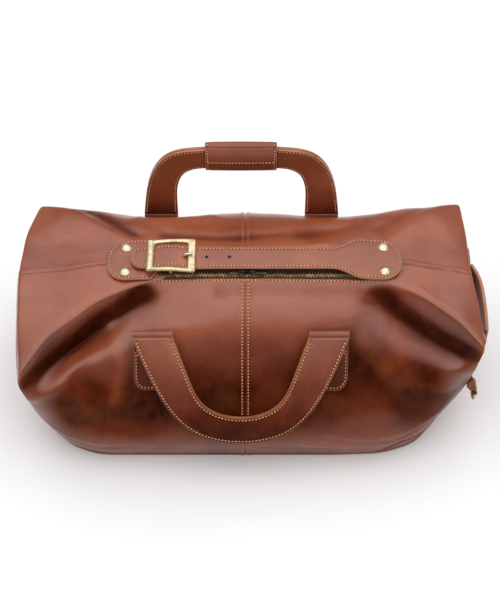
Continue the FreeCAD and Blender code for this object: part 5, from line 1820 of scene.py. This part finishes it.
# ---------------------------------------------------------------- carried-over parts
# CAD parts that show as they are, and what each is made of.
CARRIED = {
    "lining_base": LINING, "base_board": BOARD, "zip_tape_front": TAPE, "zip_tape_back": TAPE,
    "zip_stops": ZIP_METAL, "wrap_snaps": BRASS,
}


def finish_carried():
    """Paint the CAD parts that keep their own shape."""
    for node, material in CARRIED.items():
        for slot in frame["nodes"][node].material_slots:
            slot.material = material


finish_carried()


# ---------------------------------------------------------------- studio, in metres
FLOOR_HALF = 9.0
CAMERA_PLACE, CAMERA_TARGET = (0.005, -1.047, 1.481), (0.005, 0, 0.1414)
CAMERA_LENS, CAMERA_SENSOR = 90, 36


def make_floor():
    """A white ground."""
    paint = Paint("studio_floor")
    tone = paint.ramp(paint.noise(3, 2), ((0.3, (0.90, 0.90, 0.90)), (0.7, (0.92, 0.92, 0.92))))
    paint.join(tone, paint.shader.inputs["Base Color"])
    paint.set(Roughness=0.8)
    mesh = bpy.data.meshes.new("studio_floor")
    corners = [(x * FLOOR_HALF, y * FLOOR_HALF, 0) for x, y in ((-1, -1), (1, -1), (1, 1), (-1, 1))]
    mesh.from_pydata(corners, [], [(0, 1, 2, 3)])
    mesh.materials.append(paint.material)
    floor = bpy.data.objects.new("studio_floor", mesh)
    bpy.context.scene.collection.objects.link(floor)


def make_light(name, place, target, size, power):
    """A rectangular soft light, in metres and watts, turned to a target."""
    data = bpy.data.lights.new(name, "AREA")
    data.shape = "RECTANGLE"
    data.size, data.size_y = size
    data.energy = power
    light = bpy.data.objects.new(name, data)
    light.location = place
    light.rotation_euler = (Vector(target) - Vector(place)).to_track_quat("-Z", "Y").to_euler()
    bpy.context.scene.collection.objects.link(light)


def make_studio():
    """A white room lit by one large soft light overhead."""
    make_floor()
    world = bpy.data.worlds.new("studio")
    world.use_nodes = True
    world.node_tree.nodes["Background"].inputs["Color"].default_value = (1, 1, 1, 1)
    world.node_tree.nodes["Background"].inputs["Strength"].default_value = 0.15
    bpy.context.scene.world = world
    make_light("overhead_softbox", (0.0, 0.1, 1.75), (0, 0.1, 0.0), (4.6, 4.2), 98)


def make_camera():
    """The view from the front and above."""
    data = bpy.data.cameras.new("camera")
    data.lens = CAMERA_LENS
    data.sensor_width = CAMERA_SENSOR
    camera = bpy.data.objects.new("camera", data)
    place, target = Vector(CAMERA_PLACE), Vector(CAMERA_TARGET)
    camera.location = place
    camera.rotation_euler = (target - place).to_track_quat("-Z", "Y").to_euler()
    bpy.context.scene.collection.objects.link(camera)
    bpy.context.scene.camera = camera


make_studio()
make_camera()
bpy.context.scene.view_settings.view_transform = "Standard"
